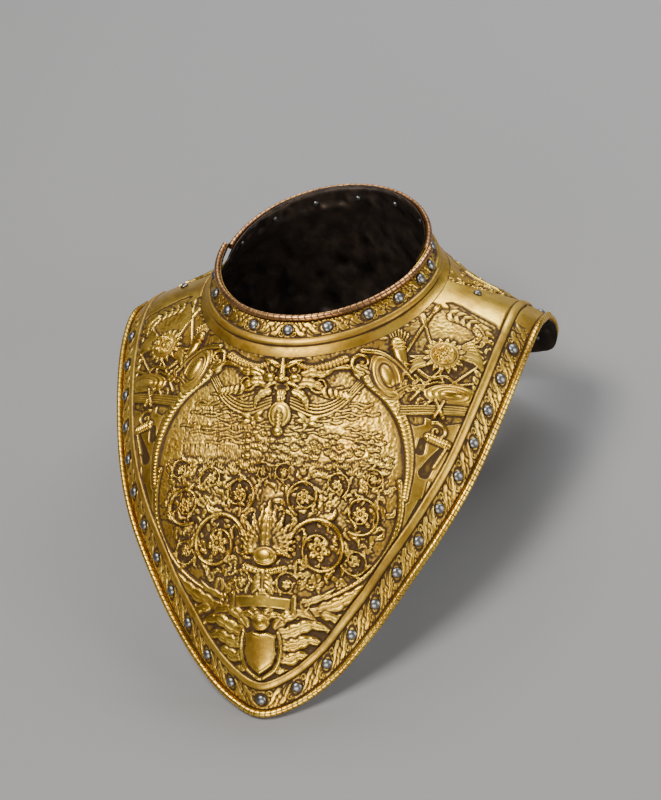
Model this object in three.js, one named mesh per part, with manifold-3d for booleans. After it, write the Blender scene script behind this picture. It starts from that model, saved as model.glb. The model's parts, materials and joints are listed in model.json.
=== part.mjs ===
// Gorget of gilt embossed sheet: a pointed front plate over a short back plate,
// joined at the shoulders by two studs, with rows of steel rivets in the borders.
// Millimetres. Both plates are shaped upright as worn, round the middle of the
// neck opening: +X to the wearer's left, -Y ahead, +Z up. The finished gorget is
// then leaned back until its front point and its back edge rest on the ground.

import * as THREE from 'three';
import { mergeVertices } from 'three/addons/utils/BufferGeometryUtils.js';
import Module from 'manifold-3d';

// Neck opening and collar
const neckHalfWidth = 75;
const neckHalfDepth = 70;
const neckRise = 44.6;
const collarHeight = 22.5;
const collarFlare = 10.5;
const collarFillet = 5;

// Share of the neck angle that grows evenly with the turn; the rest grows with
// the turn's square, so that columns crowd at the front
const evenShare = 0.45;

// Reach of the plates from the middle of the neck opening
const shoulderReach = 156;
const frontDepth = 125;
const frontDrop = 315;
const backDepth = 118;
const backDrop = 102;

// Outward swell of the plates between collar and edge
const frontSwell = 14;
const shoulderSwell = 3.5;
const backSwell = 9;

// Brings the highest value of share squared times one less share to 1
const swellPeak = 27 / 4;

// Sheet and the way the plates lie on each other
const sheet = 1.2;
const pieceGap = 0.3;
const shoulderLap = 22;
const seamClear = 8;

// Turned rim, leaf band and plain moulding, counted inwards from each edge
const rimWidth = 4.6;
const rimHeight = 2.6;
const rimEdgeShare = 0.45;
const leafBand = 13.2;
const mouldingWidth = 6.4;
const mouldingHeight = 1.8;
const mouldingBevel = 1.3;
const seamBand = 19;
const seamBandHeight = 0.5;

// Rivets and shoulder studs
const rivetHeadRadius = 3.8;
const rivetHeadHeight = 2.3;
const rivetShankRadius = 1.3;
const rivetTailRadius = 2.1;
const rivetTailHeight = 0.6;
const holeClearance = 0.4;
const rivetSides = 6;
const studHeadRadius = 3.1;
const studHeadHeight = 2.0;
const studInset = 10;
const studReach = 0.36;
const headCrown = { across: 0.62, up: 0.78 };
const borderRivetsPerSide = 12;
const lastRivetFromSeam = 58;
const backRivetsPerSide = 6;
const backRivetClearTurn = 0.06;
const frontNeckRivetAngles = [0, 20, 41, 59, 76, 87.5];
const backNeckRivetAngles = [106, 131, 155.5, 180];

// Raised ornament on the front plate: places as shares of shoulderReach across
// and of frontDrop down, sizes in millimetres
const ovalDown = 0.522;
const ovalHalfWidth = 87;
const ovalHalfHeight = 76;
const ovalBandWidth = 8;
const ovalBandHeight = 2.2;
const bosses = [
  { name: 'mask', across: 0, down: 0.262, halfWidth: 19, halfHeight: 11, height: 4.2 },
  { name: 'left shield', across: 0.475, down: 0.262, halfWidth: 9, halfHeight: 15, height: 3.2 },
  { name: 'right shield', across: -0.475, down: 0.262, halfWidth: 9, halfHeight: 15, height: 3.2 },
  { name: 'point shield', across: 0, down: 0.868, halfWidth: 13, halfHeight: 15, height: 3.0 },
];

// Lower edge of the front plate from its point to the shoulder seam, as shares
// of shoulderReach across, frontDepth ahead and frontDrop down
const frontEdgeRows = [
  { across: 0.000, ahead: 1.000, down: 1.000 },
  { across: 0.140, ahead: 0.962, down: 0.978 },
  { across: 0.296, ahead: 0.905, down: 0.921 },
  { across: 0.467, ahead: 0.840, down: 0.819 },
  { across: 0.620, ahead: 0.755, down: 0.701 },
  { across: 0.735, ahead: 0.655, down: 0.602 },
  { across: 0.832, ahead: 0.510, down: 0.496 },
  { across: 0.925, ahead: 0.285, down: 0.345 },
  { across: 0.975, ahead: 0.090, down: 0.240 },
  { across: 0.996, ahead: -0.100, down: 0.178 },
  { across: 1.000, ahead: -0.305, down: 0.159 },
];

// Edge of the back plate from the shoulder seam to the middle of the back, as
// shares of shoulderReach across, backDepth behind and backDrop down
const backEdgeRows = [
  { across: 1.000, behind: 0.323, down: 0.491 },
  { across: 0.998, behind: 0.480, down: 0.540 },
  { across: 0.988, behind: 0.590, down: 0.635 },
  { across: 0.955, behind: 0.652, down: 0.728 },
  { across: 0.885, behind: 0.703, down: 0.758 },
  { across: 0.775, behind: 0.782, down: 0.795 },
  { across: 0.650, behind: 0.852, down: 0.925 },
  { across: 0.520, behind: 0.907, down: 1.000 },
  { across: 0.370, behind: 0.954, down: 0.975 },
  { across: 0.185, behind: 0.988, down: 0.900 },
  { across: 0.000, behind: 1.000, down: 0.865 },
];

// Fineness of the facets
const frontColumnsPerSide = 18;
const frontColumnCrowding = 1.2;
const backColumnShares = [0.06, 0.125, 0.185, 0.235, 0.3, 0.4, 0.53, 0.68, 0.84, 1];
const edgeSamples = 400;
const seamAngle = 92;
const lapTurnStep = 0.004;
const turnStep = 0.004;

const toRadians = Math.PI / 180;
const wasm = await Module();
wasm.setup();

// Smooth curve through mirrored rows, cut at its middle, so that it crosses the
// plane of symmetry square on
function halfCurve(points, mirroredEnd) {
  const mirror = points.map((p) => new THREE.Vector3(-p.x, p.y, p.z));
  const whole = mirroredEnd === 'first'
    ? [...mirror.slice(1).reverse(), ...points]
    : [...points, ...mirror.slice(0, -1).reverse()];
  const curve = new THREE.CatmullRomCurve3(whole, false, 'centripetal');
  curve.arcLengthDivisions = edgeSamples;
  const length = curve.getLength() / 2;
  const start = mirroredEnd === 'first' ? 0.5 : 0;
  const at = (share) => curve.getPointAt(THREE.MathUtils.clamp(start + share / 2, 0, 1));
  return { at, length };
}

const frontEdge = halfCurve(
  frontEdgeRows.map((r) => new THREE.Vector3(
    r.across * shoulderReach, -r.ahead * frontDepth, -r.down * frontDrop)),
  'first',
);
const backEdge = halfCurve(
  backEdgeRows.map((r) => new THREE.Vector3(
    r.across * shoulderReach, r.behind * backDepth, -r.down * backDrop)),
  'last',
);

// The plates share one surface, walked by turn and by distance from the rim.
// Turn 0 is the middle of the front, 1 the shoulder seam, 2 the middle of the
// back, and a negative turn is the mirrored side.
function neckAngle(turn) {
  if (turn > 1) {
    return seamAngle + (180 - seamAngle) * (turn - 1);
  }
  return seamAngle * (evenShare * turn + (1 - evenShare) * turn * turn);
}

function rimPoint(angle) {
  const a = angle * toRadians;
  return new THREE.Vector3(
    neckHalfWidth * Math.sin(a), -neckHalfDepth * Math.cos(a), -neckRise * Math.cos(a));
}

function footPoint(angle) {
  const a = angle * toRadians;
  return new THREE.Vector3(
    (neckHalfWidth + collarFlare) * Math.sin(a),
    -(neckHalfDepth + collarFlare) * Math.cos(a),
    -neckRise * Math.cos(a) - collarHeight,
  );
}

function edgePoint(turn) {
  return turn > 1 ? backEdge.at(turn - 1) : frontEdge.at(turn);
}

function swellAt(turn) {
  const share = turn > 1 ? turn - 1 : 1 - turn;
  const far = turn > 1 ? backSwell : frontSwell;
  return shoulderSwell + (far - shoulderSwell) * share * (2 - share);
}

// One line from rim to edge: straight down the collar, then out to the edge
// with its swell, and a round turn between the two
function meridian(turn) {
  const t = Math.min(Math.max(Math.abs(turn), 0), 2);
  const rim = rimPoint(neckAngle(t));
  const foot = footPoint(neckAngle(t));
  const edge = edgePoint(t);
  const before = Math.max(t - turnStep, 0);
  const after = Math.min(t + turnStep, 2);
  const along = edgePoint(after).sub(edgePoint(before));
  along.add(footPoint(neckAngle(after)).sub(footPoint(neckAngle(before))));
  const fall = edge.clone().sub(foot);
  const out = new THREE.Vector3().crossVectors(fall, along).normalize();
  const edgeRun = edgePoint(after).sub(edgePoint(before)).normalize();
  const slant = Math.sqrt(1 - edgeRun.dot(fall.clone().normalize()) ** 2);
  const collarRun = rim.distanceTo(foot);
  const fieldRun = foot.distanceTo(edge);
  return { rim, foot, edge, fall, out, slant, swell: swellAt(t), collarRun, fieldRun };
}

function pointOnMeridian(m, distance) {
  const plain = (d) => {
    if (d <= m.collarRun) {
      return m.rim.clone().lerp(m.foot, d / m.collarRun);
    }
    const share = (d - m.collarRun) / m.fieldRun;
    const lift = swellPeak * share * share * (1 - share) * m.swell;
    return m.foot.clone().addScaledVector(m.fall, share).addScaledVector(m.out, lift);
  };
  const past = distance - (m.collarRun - collarFillet);
  if (past <= 0 || past >= 2 * collarFillet) {
    return plain(distance);
  }
  const q = past / (2 * collarFillet);
  const start = plain(m.collarRun - collarFillet).multiplyScalar((1 - q) * (1 - q));
  const end = plain(m.collarRun + collarFillet).multiplyScalar(q * q);
  return start.addScaledVector(m.foot, 2 * q * (1 - q)).add(end);
}

// Point of the shared surface, raised along its outward normal
function surfacePoint(turn, distance, raise) {
  const side = turn < 0 ? -1 : 1;
  const t = Math.abs(turn);
  const stepTurn = 0.006;
  const stepAlong = 0.6;
  const here = meridian(t);
  const run = here.collarRun + here.fieldRun;
  const d = Math.min(distance, run);
  const point = pointOnMeridian(here, d);
  const up = pointOnMeridian(here, Math.max(d - stepAlong, 0));
  const down = pointOnMeridian(here, Math.min(d + stepAlong, run));
  const share = d <= here.collarRun ? null : (d - here.collarRun) / here.fieldRun;
  const beside = (turnHere) => {
    const m = meridian(turnHere);
    const dist = share === null ? d / here.collarRun * m.collarRun : m.collarRun + share * m.fieldRun;
    return pointOnMeridian(m, dist);
  };
  const right = beside(Math.min(t + stepTurn, 2));
  const left = beside(Math.max(t - stepTurn, 0));
  if (t < stepTurn) {
    left.copy(right).x *= -1;
  }
  if (t > 2 - stepTurn) {
    right.copy(left).x *= -1;
  }
  const normal = new THREE.Vector3().crossVectors(down.sub(up), right.sub(left)).normalize();
  point.addScaledVector(normal, raise);
  point.x *= side;
  normal.x *= side;
  return { point, normal };
}

// Rows from rim to edge. Each has the distance from the rim, or from the edge
// where 'edge' is set, and the raise of its outer face over the sheet.
const bandEnd = rimWidth + leafBand;
const mouldingEnd = bandEnd + mouldingWidth;
const rimRows = [
  { at: 0, raise: rimHeight * rimEdgeShare },
  { at: rimWidth * 0.5, raise: rimHeight },
  { at: rimWidth, raise: 0 },
];
const mouldingRows = [
  { at: bandEnd, raise: 0 },
  { at: bandEnd + mouldingBevel, raise: mouldingHeight },
  { at: mouldingEnd - mouldingBevel, raise: mouldingHeight },
  { at: mouldingEnd, raise: 0 },
];
const collarSqueeze = 0.93;
const fieldShares = [0.19, 0.37, 0.54, 0.7, 0.86];

function outerRows(m) {
  const run = m.collarRun + m.fieldRun;
  const start = m.collarRun + collarFillet;
  const end = run - mouldingEnd / m.slant;
  const collar = [...rimRows, ...mouldingRows.map((r) => ({ ...r, at: r.at * collarSqueeze }))];
  const border = [...rimRows, ...mouldingRows].reverse();
  const field = fieldShares.map((share) => ({ distance: start + (end - start) * share, raise: 0 }));
  return [
    ...collar.map((r) => ({ distance: r.at, raise: r.raise, kind: 'collar' })),
    { distance: m.collarRun, raise: 0, kind: 'foot' },
    { distance: start, raise: 0, kind: 'foot' },
    ...field.map((r) => ({ ...r, kind: 'field' })),
    ...border.map((r) => ({ distance: run - r.at / m.slant, raise: r.raise, kind: 'border' })),
  ];
}

// The inner face keeps the rows that follow the sheet and drops those of the
// rolled rims and the mouldings' slopes
const innerSkips = [1, 2, 4, 5];

function innerRows(m) {
  const rows = outerRows(m);
  const skipped = innerSkips.flatMap((n) => [n, rows.length - 1 - n]);
  const onRim = rows.length - rimRows.length;
  return rows.filter((row, n) => n === onRim || !skipped.includes(n));
}

// Closed sheet from two grids of points, outer and inner, each a list of
// columns; unequal rows at the two ends are zipped together
function sheetGeometry(outer, inner) {
  const positions = [];
  const index = [];
  const push = (grid) => grid.map((column) => column.map((p) => {
    positions.push(p.x, p.y, p.z);
    return positions.length / 3 - 1;
  }));
  const outerIds = push(outer);
  const innerIds = push(inner);
  const strip = (ids, flip) => {
    for (let c = 0; c + 1 < ids.length; c += 1) {
      for (let r = 0; r + 1 < ids[c].length; r += 1) {
        const [a, b, d, e] = [ids[c][r], ids[c + 1][r], ids[c][r + 1], ids[c + 1][r + 1]];
        index.push(...(flip ? [a, d, b, b, d, e] : [a, b, d, b, e, d]));
      }
    }
  };
  strip(outerIds, true);
  strip(innerIds, false);
  for (let c = 0; c + 1 < outerIds.length; c += 1) {
    const [a, b, d, e] = [outerIds[c][0], outerIds[c + 1][0], innerIds[c][0], innerIds[c + 1][0]];
    index.push(a, b, d, b, e, d);
    const [f, g, h, i] = [outerIds[c].at(-1), outerIds[c + 1].at(-1), innerIds[c].at(-1), innerIds[c + 1].at(-1)];
    index.push(f, h, g, g, h, i);
  }
  const zip = (o, i, oPoints, iPoints, flip) => {
    let a = 0;
    let b = 0;
    const share = (list, n) => list[0].distanceTo(list[n]) / list[0].distanceTo(list.at(-1));
    while (a + 1 < o.length || b + 1 < i.length) {
      const outerNext = a + 1 < o.length ? share(oPoints, a + 1) : Infinity;
      const innerNext = b + 1 < i.length ? share(iPoints, b + 1) : Infinity;
      const triangle = outerNext <= innerNext ? [o[a], o[a + 1], i[b]] : [o[a], i[b + 1], i[b]];
      index.push(...(flip ? triangle : triangle.reverse()));
      if (outerNext <= innerNext) {
        a += 1;
      } else {
        b += 1;
      }
    }
  };
  zip(outerIds[0], innerIds[0], outer[0], inner[0], false);
  zip(outerIds.at(-1), innerIds.at(-1), outer.at(-1), inner.at(-1), true);
  const geometry = new THREE.BufferGeometry();
  geometry.setAttribute('position', new THREE.Float32BufferAttribute(positions, 3));
  geometry.setIndex(index);
  return geometry;
}

// Manifold solids from three.js geometries and back
function solidOf(geometry) {
  const bare = new THREE.BufferGeometry();
  bare.setAttribute('position', geometry.getAttribute('position').clone());
  bare.setIndex(geometry.getIndex() ? geometry.getIndex().clone() : null);
  const merged = mergeVertices(bare, 1e-4);
  return new wasm.Manifold(new wasm.Mesh({
    numProp: 3,
    vertProperties: new Float32Array(merged.getAttribute('position').array),
    triVerts: new Uint32Array(merged.getIndex().array),
  }));
}

function geometryOf(solid) {
  const mesh = solid.getMesh();
  const geometry = new THREE.BufferGeometry();
  geometry.setAttribute('position', new THREE.Float32BufferAttribute(mesh.vertProperties, 3));
  geometry.setIndex(new THREE.Uint32BufferAttribute(mesh.triVerts, 1));
  geometry.computeVertexNormals();
  return geometry;
}

// Share of a turn that a width covers half way along the shoulder seam
function turnsNearSeam(width) {
  const rateAtSeam = evenShare + 2 * (1 - evenShare);
  const collarLength = (neckHalfWidth + collarFlare) * seamAngle * toRadians * rateAtSeam;
  return width / ((frontEdge.length + collarLength) / 2);
}

// Columns of the front plate, with a close pair where the seam band begins and
// the same columns as the back plate where the two lap
const lapTurn = 1 - turnsNearSeam(shoulderLap);
const seamBandTurn = 1 - turnsNearSeam(seamBand);
const seamBandEdge = seamBandTurn + turnsNearSeam(mouldingBevel);
const frontTurns = [lapTurn, seamBandTurn, seamBandEdge, 1];
const evenColumns = frontColumnsPerSide - frontTurns.length;
for (let c = 0; c < evenColumns; c += 1) {
  frontTurns.push(Math.min(lapTurn, seamBandTurn) * (c / evenColumns) ** frontColumnCrowding);
}
frontTurns.sort((a, b) => a - b);
const frontColumns = [...frontTurns.slice(1).reverse().map((t) => -t), ...frontTurns];

function frontRaise(row, turn) {
  const inSeamBand = Math.abs(turn) > (seamBandTurn + seamBandEdge) / 2;
  return inSeamBand && row.kind === 'field' ? seamBandHeight : row.raise;
}

const frontOuter = frontColumns.map((turn) => outerRows(meridian(turn)).map(
  (row) => surfacePoint(turn, row.distance, sheet + frontRaise(row, turn)).point));
const frontInner = frontColumns.map((turn) => innerRows(meridian(turn)).map(
  (row) => surfacePoint(turn, row.distance, 0).point));

// The back plate lies under the front one: its outer face is one gap below the
// front's inner face, its rolled rim is drawn in by its own height, and its
// mouldings end where the plates lap
const clearTurn = 1 + seamClear / backEdge.length;
const backTurns = [
  ...frontTurns.filter((turn) => turn >= lapTurn),
  1 + lapTurnStep,
  clearTurn,
  ...backColumnShares.map((share) => clearTurn + (2 - clearTurn) * share),
];

function backInset(distance) {
  const bandFoot = bandEnd * collarSqueeze;
  const collarFoot = Math.hypot(collarHeight, collarFlare) + collarFillet;
  const reach = THREE.MathUtils.clamp((collarFoot - distance) / (collarFoot - bandFoot), 0, 1);
  return pieceGap + rimHeight * reach;
}

function backRaise(row, turn) {
  const lapped = turn < (1 + clearTurn) / 2;
  return lapped && (row.kind !== 'collar' || row.distance > rimWidth) ? 0 : row.raise;
}

// Where the plates lap, the back plate stops short of the front's rolled rim
const lapEdgeShare = 0.9;

function backDistance(m, row, turn) {
  const run = m.collarRun + m.fieldRun;
  const rim = rimWidth / m.slant;
  const fromEdge = run - row.distance;
  return turn <= 1 && fromEdge < rim ? run - lapEdgeShare * rim - (1 - lapEdgeShare) * fromEdge : row.distance;
}

const backRight = backTurns.map((turn) => ({ turn, m: meridian(turn) }));
const backOuterHalf = backRight.map(({ turn, m }) => outerRows(m).map((row) => {
  const distance = backDistance(m, row, turn);
  return surfacePoint(turn, distance, backRaise(row, turn) - backInset(distance)).point;
}));
const backInnerHalf = backRight.map(({ turn, m }) => innerRows(m).map((row) => {
  const distance = backDistance(m, row, turn);
  return surfacePoint(turn, distance, -sheet - backInset(distance)).point;
}));
const mirrored = (grid) => grid.slice(0, -1).reverse().map(
  (column) => column.map((p) => new THREE.Vector3(-p.x, p.y, p.z)));
const backOuter = [...backOuterHalf, ...mirrored(backOuterHalf)];
const backInner = [...backInnerHalf, ...mirrored(backInnerHalf)];

// Place on the front of the surface that lies at a given x and z
const probeTurn = 0.002;
const probeRun = 0.5;

function frontPlace(x, z) {
  let turn = 0.4;
  let distance = 120;
  const side = x < 0 ? -1 : 1;
  for (let n = 0; n < 30; n += 1) {
    const here = surfacePoint(turn, distance, sheet).point;
    const turned = surfacePoint(turn + probeTurn, distance, sheet).point;
    const moved = surfacePoint(turn, distance + probeRun, sheet).point;
    const alongTurn = turned.sub(here).divideScalar(probeTurn);
    const alongRun = moved.sub(here).divideScalar(probeRun);
    const missX = Math.abs(x) - here.x;
    const missZ = z - here.z;
    const det = alongTurn.x * alongRun.z - alongRun.x * alongTurn.z;
    turn += THREE.MathUtils.clamp((missX * alongRun.z - missZ * alongRun.x) / det, -0.2, 0.2);
    distance += THREE.MathUtils.clamp((missZ * alongTurn.x - missX * alongTurn.z) / det, -40, 40);
    turn = THREE.MathUtils.clamp(turn, 0, 0.99);
  }
  return { turn: side * turn, distance };
}

function frontReliefPoint(x, z, raise) {
  const place = frontPlace(x, z);
  return surfacePoint(place.turn, place.distance, sheet + raise).point;
}

// Low raised form on the front plate: rings of points round a centre, each with
// its share of the half sizes and its raise, rooted inside the sheet
function boss(across, down, halfWidth, halfHeight, rings, sides) {
  const positions = [];
  const index = [];
  const centreX = across * shoulderReach;
  const centreZ = -down * frontDrop;
  const ids = rings.map((ring) => {
    const row = [];
    for (let k = 0; k < sides; k += 1) {
      const a = 2 * Math.PI * k / sides;
      const p = frontReliefPoint(
        centreX + ring.share * halfWidth * Math.cos(a),
        centreZ + ring.share * halfHeight * Math.sin(a),
        ring.raise,
      );
      positions.push(p.x, p.y, p.z);
      row.push(positions.length / 3 - 1);
    }
    return row;
  });
  const closes = rings.at(-1).share === rings[0].share && rings.length > 3;
  for (let r = 0; r + 1 < ids.length; r += 1) {
    for (let k = 0; k < sides; k += 1) {
      const n = (k + 1) % sides;
      index.push(ids[r][k], ids[r][n], ids[r + 1][k], ids[r][n], ids[r + 1][n], ids[r + 1][k]);
    }
  }
  if (!closes) {
    [ids[0], ids.at(-1)].forEach((row, which) => {
      const centre = frontReliefPoint(centreX, centreZ, rings.at(which === 0 ? 0 : -1).raise);
      positions.push(centre.x, centre.y, centre.z);
      const top = positions.length / 3 - 1;
      for (let k = 0; k < sides; k += 1) {
        const n = (k + 1) % sides;
        index.push(...(which === 0 ? [top, row[n], row[k]] : [top, row[k], row[n]]));
      }
    });
  }
  const geometry = new THREE.BufferGeometry();
  geometry.setAttribute('position', new THREE.Float32BufferAttribute(positions, 3));
  geometry.setIndex(index);
  return geometry;
}

const rootShare = 0.9;
const rooted = -sheet * rootShare;
const ovalInner = 1 - ovalBandWidth / ovalHalfWidth;
const ovalBevel = 0.2;
const ovalSides = 24;
const ovalRing = boss(0, ovalDown, ovalHalfWidth, ovalHalfHeight, [
  { share: 1, raise: rooted },
  { share: 1 - (1 - ovalInner) * ovalBevel, raise: ovalBandHeight },
  { share: 1 - (1 - ovalInner) * (1 - ovalBevel), raise: ovalBandHeight },
  { share: ovalInner, raise: rooted },
  { share: 1, raise: rooted },
], ovalSides);
const bossRings = (height) => [
  { share: 1, raise: rooted },
  { share: 0.96, raise: height * 0.35 },
  { share: 0.62, raise: height },
];
const bossSides = 10;

// Rivets and studs: a lathed head, and a shank that widens to its hammered
// tail, standing along the surface normal in a clearance hole that widens too
const tailDepth = (through) => through + pieceGap + rivetTailHeight;

function shankRadius(through, height) {
  const share = (pieceGap - height) / (pieceGap + tailDepth(through));
  return rivetShankRadius + (rivetTailRadius - rivetShankRadius) * share;
}

function rivetGeometry(headRadius, headHeight, through) {
  const profile = [
    [0, headHeight + pieceGap],
    [headRadius * headCrown.across, headHeight * headCrown.up + pieceGap],
    [headRadius, pieceGap],
    [rivetShankRadius, pieceGap],
    [rivetTailRadius, -tailDepth(through)],
    [0, -tailDepth(through)],
  ];
  const lathe = new THREE.LatheGeometry(
    profile.reverse().map(([r, h]) => new THREE.Vector2(r, h)), rivetSides);
  lathe.rotateX(Math.PI / 2);
  return lathe;
}

function holeGeometry(through) {
  const top = rivetHeadHeight;
  const bottom = -tailDepth(through) - rivetHeadHeight;
  const hole = new THREE.CylinderGeometry(
    shankRadius(through, top) + holeClearance,
    shankRadius(through, bottom) + holeClearance,
    top - bottom,
    rivetSides,
  );
  hole.rotateX(Math.PI / 2);
  hole.translate(0, 0, (top + bottom) / 2);
  return hole;
}

function placeOn(turn, distance, raise) {
  const { point, normal } = surfacePoint(turn, distance, raise);
  const matrix = new THREE.Matrix4();
  const turnTo = new THREE.Quaternion().setFromUnitVectors(new THREE.Vector3(0, 0, 1), normal);
  matrix.compose(point, turnTo, new THREE.Vector3(1, 1, 1));
  return matrix;
}

const bandMiddle = rimWidth + leafBand / 2;
const fixings = [];

function addFixing(name, turn, distance, raise, plates, head, through) {
  fixings.push({ name, plates, through, head, matrix: placeOn(turn, distance, raise) });
}

function turnAtAngle(angle) {
  if (angle > seamAngle) {
    return 1 + (angle - seamAngle) / (180 - seamAngle);
  }
  const rest = 1 - evenShare;
  return (-evenShare + Math.sqrt(evenShare ** 2 + 4 * rest * angle / seamAngle)) / (2 * rest);
}

const plainHead = { radius: rivetHeadRadius, height: rivetHeadHeight };
const studHead = { radius: studHeadRadius, height: studHeadHeight };

function bothSides(count, place) {
  for (let n = 0; n < count; n += 1) {
    place(n, 1, n === 0 ? 'middle' : 'left');
    if (n > 0) {
      place(n, -1, 'right');
    }
  }
}

const numbered = (side, n) => (side === 'middle' ? 'middle' : `${side}_${String(n).padStart(2, '0')}`);

bothSides(frontNeckRivetAngles.length, (n, sign, side) => {
  const turn = turnAtAngle(frontNeckRivetAngles[n]);
  addFixing(`front_neck_rivet_${numbered(side, n)}`, sign * turn, bandMiddle * collarSqueeze, sheet,
    ['front'], plainHead, sheet);
});

bothSides(borderRivetsPerSide + 1, (n, sign, side) => {
  const turn = (1 - lastRivetFromSeam / frontEdge.length) * n / borderRivetsPerSide;
  const m = meridian(turn);
  const distance = m.collarRun + m.fieldRun - bandMiddle / m.slant;
  addFixing(`front_border_rivet_${numbered(side, n)}`, sign * turn, distance, sheet,
    ['front'], plainHead, sheet);
});

[...backNeckRivetAngles].reverse().forEach((angle, n) => {
  const turn = turnAtAngle(angle);
  const distance = bandMiddle * collarSqueeze;
  const place = (sign, side) => addFixing(`back_neck_rivet_${numbered(side, n)}`, sign * turn,
    distance, -backInset(distance), ['back'], plainHead, sheet);
  place(1, n === 0 ? 'middle' : 'left');
  if (n > 0) {
    place(-1, 'right');
  }
});

for (let n = 1; n <= backRivetsPerSide; n += 1) {
  const turn = 2 - (2 - clearTurn - backRivetClearTurn) * (n - 0.5) / (backRivetsPerSide - 0.5);
  const m = meridian(turn);
  const distance = m.collarRun + m.fieldRun - bandMiddle / m.slant;
  addFixing(`back_border_rivet_left_${String(n).padStart(2, '0')}`, turn, distance,
    -backInset(distance), ['back'], plainHead, sheet);
  addFixing(`back_border_rivet_right_${String(n).padStart(2, '0')}`, -turn, distance,
    -backInset(distance), ['back'], plainHead, sheet);
}

// The studs hold both plates where they lap, so their shanks are longer
const studThrough = 2 * sheet + pieceGap + seamBandHeight;
for (const [sign, side] of [[1, 'left'], [-1, 'right']]) {
  const turn = 1 - turnsNearSeam(studInset);
  const m = meridian(turn);
  addFixing(`${side}_stud`, sign * turn, m.collarRun + m.fieldRun * studReach,
    sheet + seamBandHeight, ['front', 'back'], studHead, studThrough);
}

// Plates with their ornament and holes
let frontSolid = solidOf(sheetGeometry(frontOuter, frontInner));
frontSolid = frontSolid.add(solidOf(ovalRing));
bosses.forEach((b) => {
  const form = boss(b.across, b.down, b.halfWidth, b.halfHeight, bossRings(b.height), bossSides);
  frontSolid = frontSolid.add(solidOf(form));
});
let backSolid = solidOf(sheetGeometry(backOuter, backInner));
fixings.forEach((fixing) => {
  const hole = holeGeometry(fixing.through).applyMatrix4(fixing.matrix);
  const cutter = solidOf(hole);
  if (fixing.plates.includes('front')) {
    frontSolid = frontSolid.subtract(cutter);
  }
  if (fixing.plates.includes('back')) {
    backSolid = backSolid.subtract(cutter);
  }
});

// Materials
const gilt = new THREE.MeshStandardMaterial({ color: 0xc49a45, roughness: 0.35, metalness: 1 });
const giltBack = new THREE.MeshStandardMaterial({ color: 0xb88f40, roughness: 0.38, metalness: 1 });
const steel = new THREE.MeshStandardMaterial({ color: 0x6f7378, roughness: 0.32, metalness: 1 });

function addMesh(parent, name, geometry, material) {
  const mesh = new THREE.Mesh(geometry, material);
  mesh.name = name;
  parent.add(mesh);
  return mesh;
}

const gorget = new THREE.Group();
addMesh(gorget, 'front_plate', geometryOf(frontSolid), gilt);
addMesh(gorget, 'back_plate', geometryOf(backSolid), giltBack);
fixings.forEach((fixing) => {
  const geometry = rivetGeometry(fixing.head.radius, fixing.head.height, fixing.through);
  const mesh = addMesh(gorget, fixing.name, geometry, steel);
  mesh.applyMatrix4(fixing.matrix);
});

// Lean back until the front point and the back edge are equally low
function lowest(grid, lean) {
  const sin = Math.sin(lean);
  const cos = Math.cos(lean);
  return Math.min(...grid.flat().map((p) => p.y * sin + p.z * cos));
}

function restingLean() {
  const frontFaces = [...frontOuter, ...frontInner];
  const backFaces = [...backOuter, ...backInner];
  let less = -80 * toRadians;
  let more = 0;
  for (let n = 0; n < 60; n += 1) {
    const middle = (less + more) / 2;
    if (lowest(frontFaces, middle) > lowest(backFaces, middle)) {
      less = middle;
    } else {
      more = middle;
    }
  }
  return (less + more) / 2;
}

const lean = restingLean();
gorget.rotation.x = lean;
gorget.updateMatrixWorld(true);
const box = new THREE.Box3().setFromObject(gorget, true);
gorget.position.set(-(box.min.x + box.max.x) / 2, -(box.min.y + box.max.y) / 2, -box.min.z);
const resting = new THREE.Group();
resting.add(gorget);

export default resting;
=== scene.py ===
"""Looks of a gilt embossed gorget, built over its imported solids.

Lengths are millimetres in the plates' own upright frame unless a name says
metres. Turn 0 is the middle of the front, 1 the shoulder seam and 2 the middle
of the back; a negative turn is the mirrored side. Distance runs from the neck
rim down the collar and out to the lower edge. The field of the front plate is
drawn on a flat chart: x across, v = y sin 30 + z cos 30.
"""

import json
import math

import bpy
import numpy as np
from bpy.props import FloatProperty, FloatVectorProperty, PointerProperty
from mathutils import Matrix, Vector


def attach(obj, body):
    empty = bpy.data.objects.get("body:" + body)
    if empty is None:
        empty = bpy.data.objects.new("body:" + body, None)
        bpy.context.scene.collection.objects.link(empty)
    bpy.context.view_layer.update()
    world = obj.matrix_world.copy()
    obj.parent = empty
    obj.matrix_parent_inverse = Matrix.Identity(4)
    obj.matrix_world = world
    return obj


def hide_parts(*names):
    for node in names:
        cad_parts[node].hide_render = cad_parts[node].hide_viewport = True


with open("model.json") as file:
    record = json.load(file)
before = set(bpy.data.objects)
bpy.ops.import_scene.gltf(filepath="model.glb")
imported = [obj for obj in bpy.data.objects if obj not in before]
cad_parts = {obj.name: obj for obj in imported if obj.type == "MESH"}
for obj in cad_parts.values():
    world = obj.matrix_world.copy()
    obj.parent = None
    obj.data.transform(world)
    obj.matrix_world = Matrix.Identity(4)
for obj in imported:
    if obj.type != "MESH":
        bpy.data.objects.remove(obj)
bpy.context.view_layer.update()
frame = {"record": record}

bl_info = {
    "name": "Embossed gorget",
    "version": (1, 0, 0),
    "blender": (4, 5, 0),
    "location": "View3D > Sidebar > Gorget",
    "description": "Builds the gilt embossed plates, roped rims and rivets of a gorget",
    "category": "Object",
}

METRES = 0.001

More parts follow.
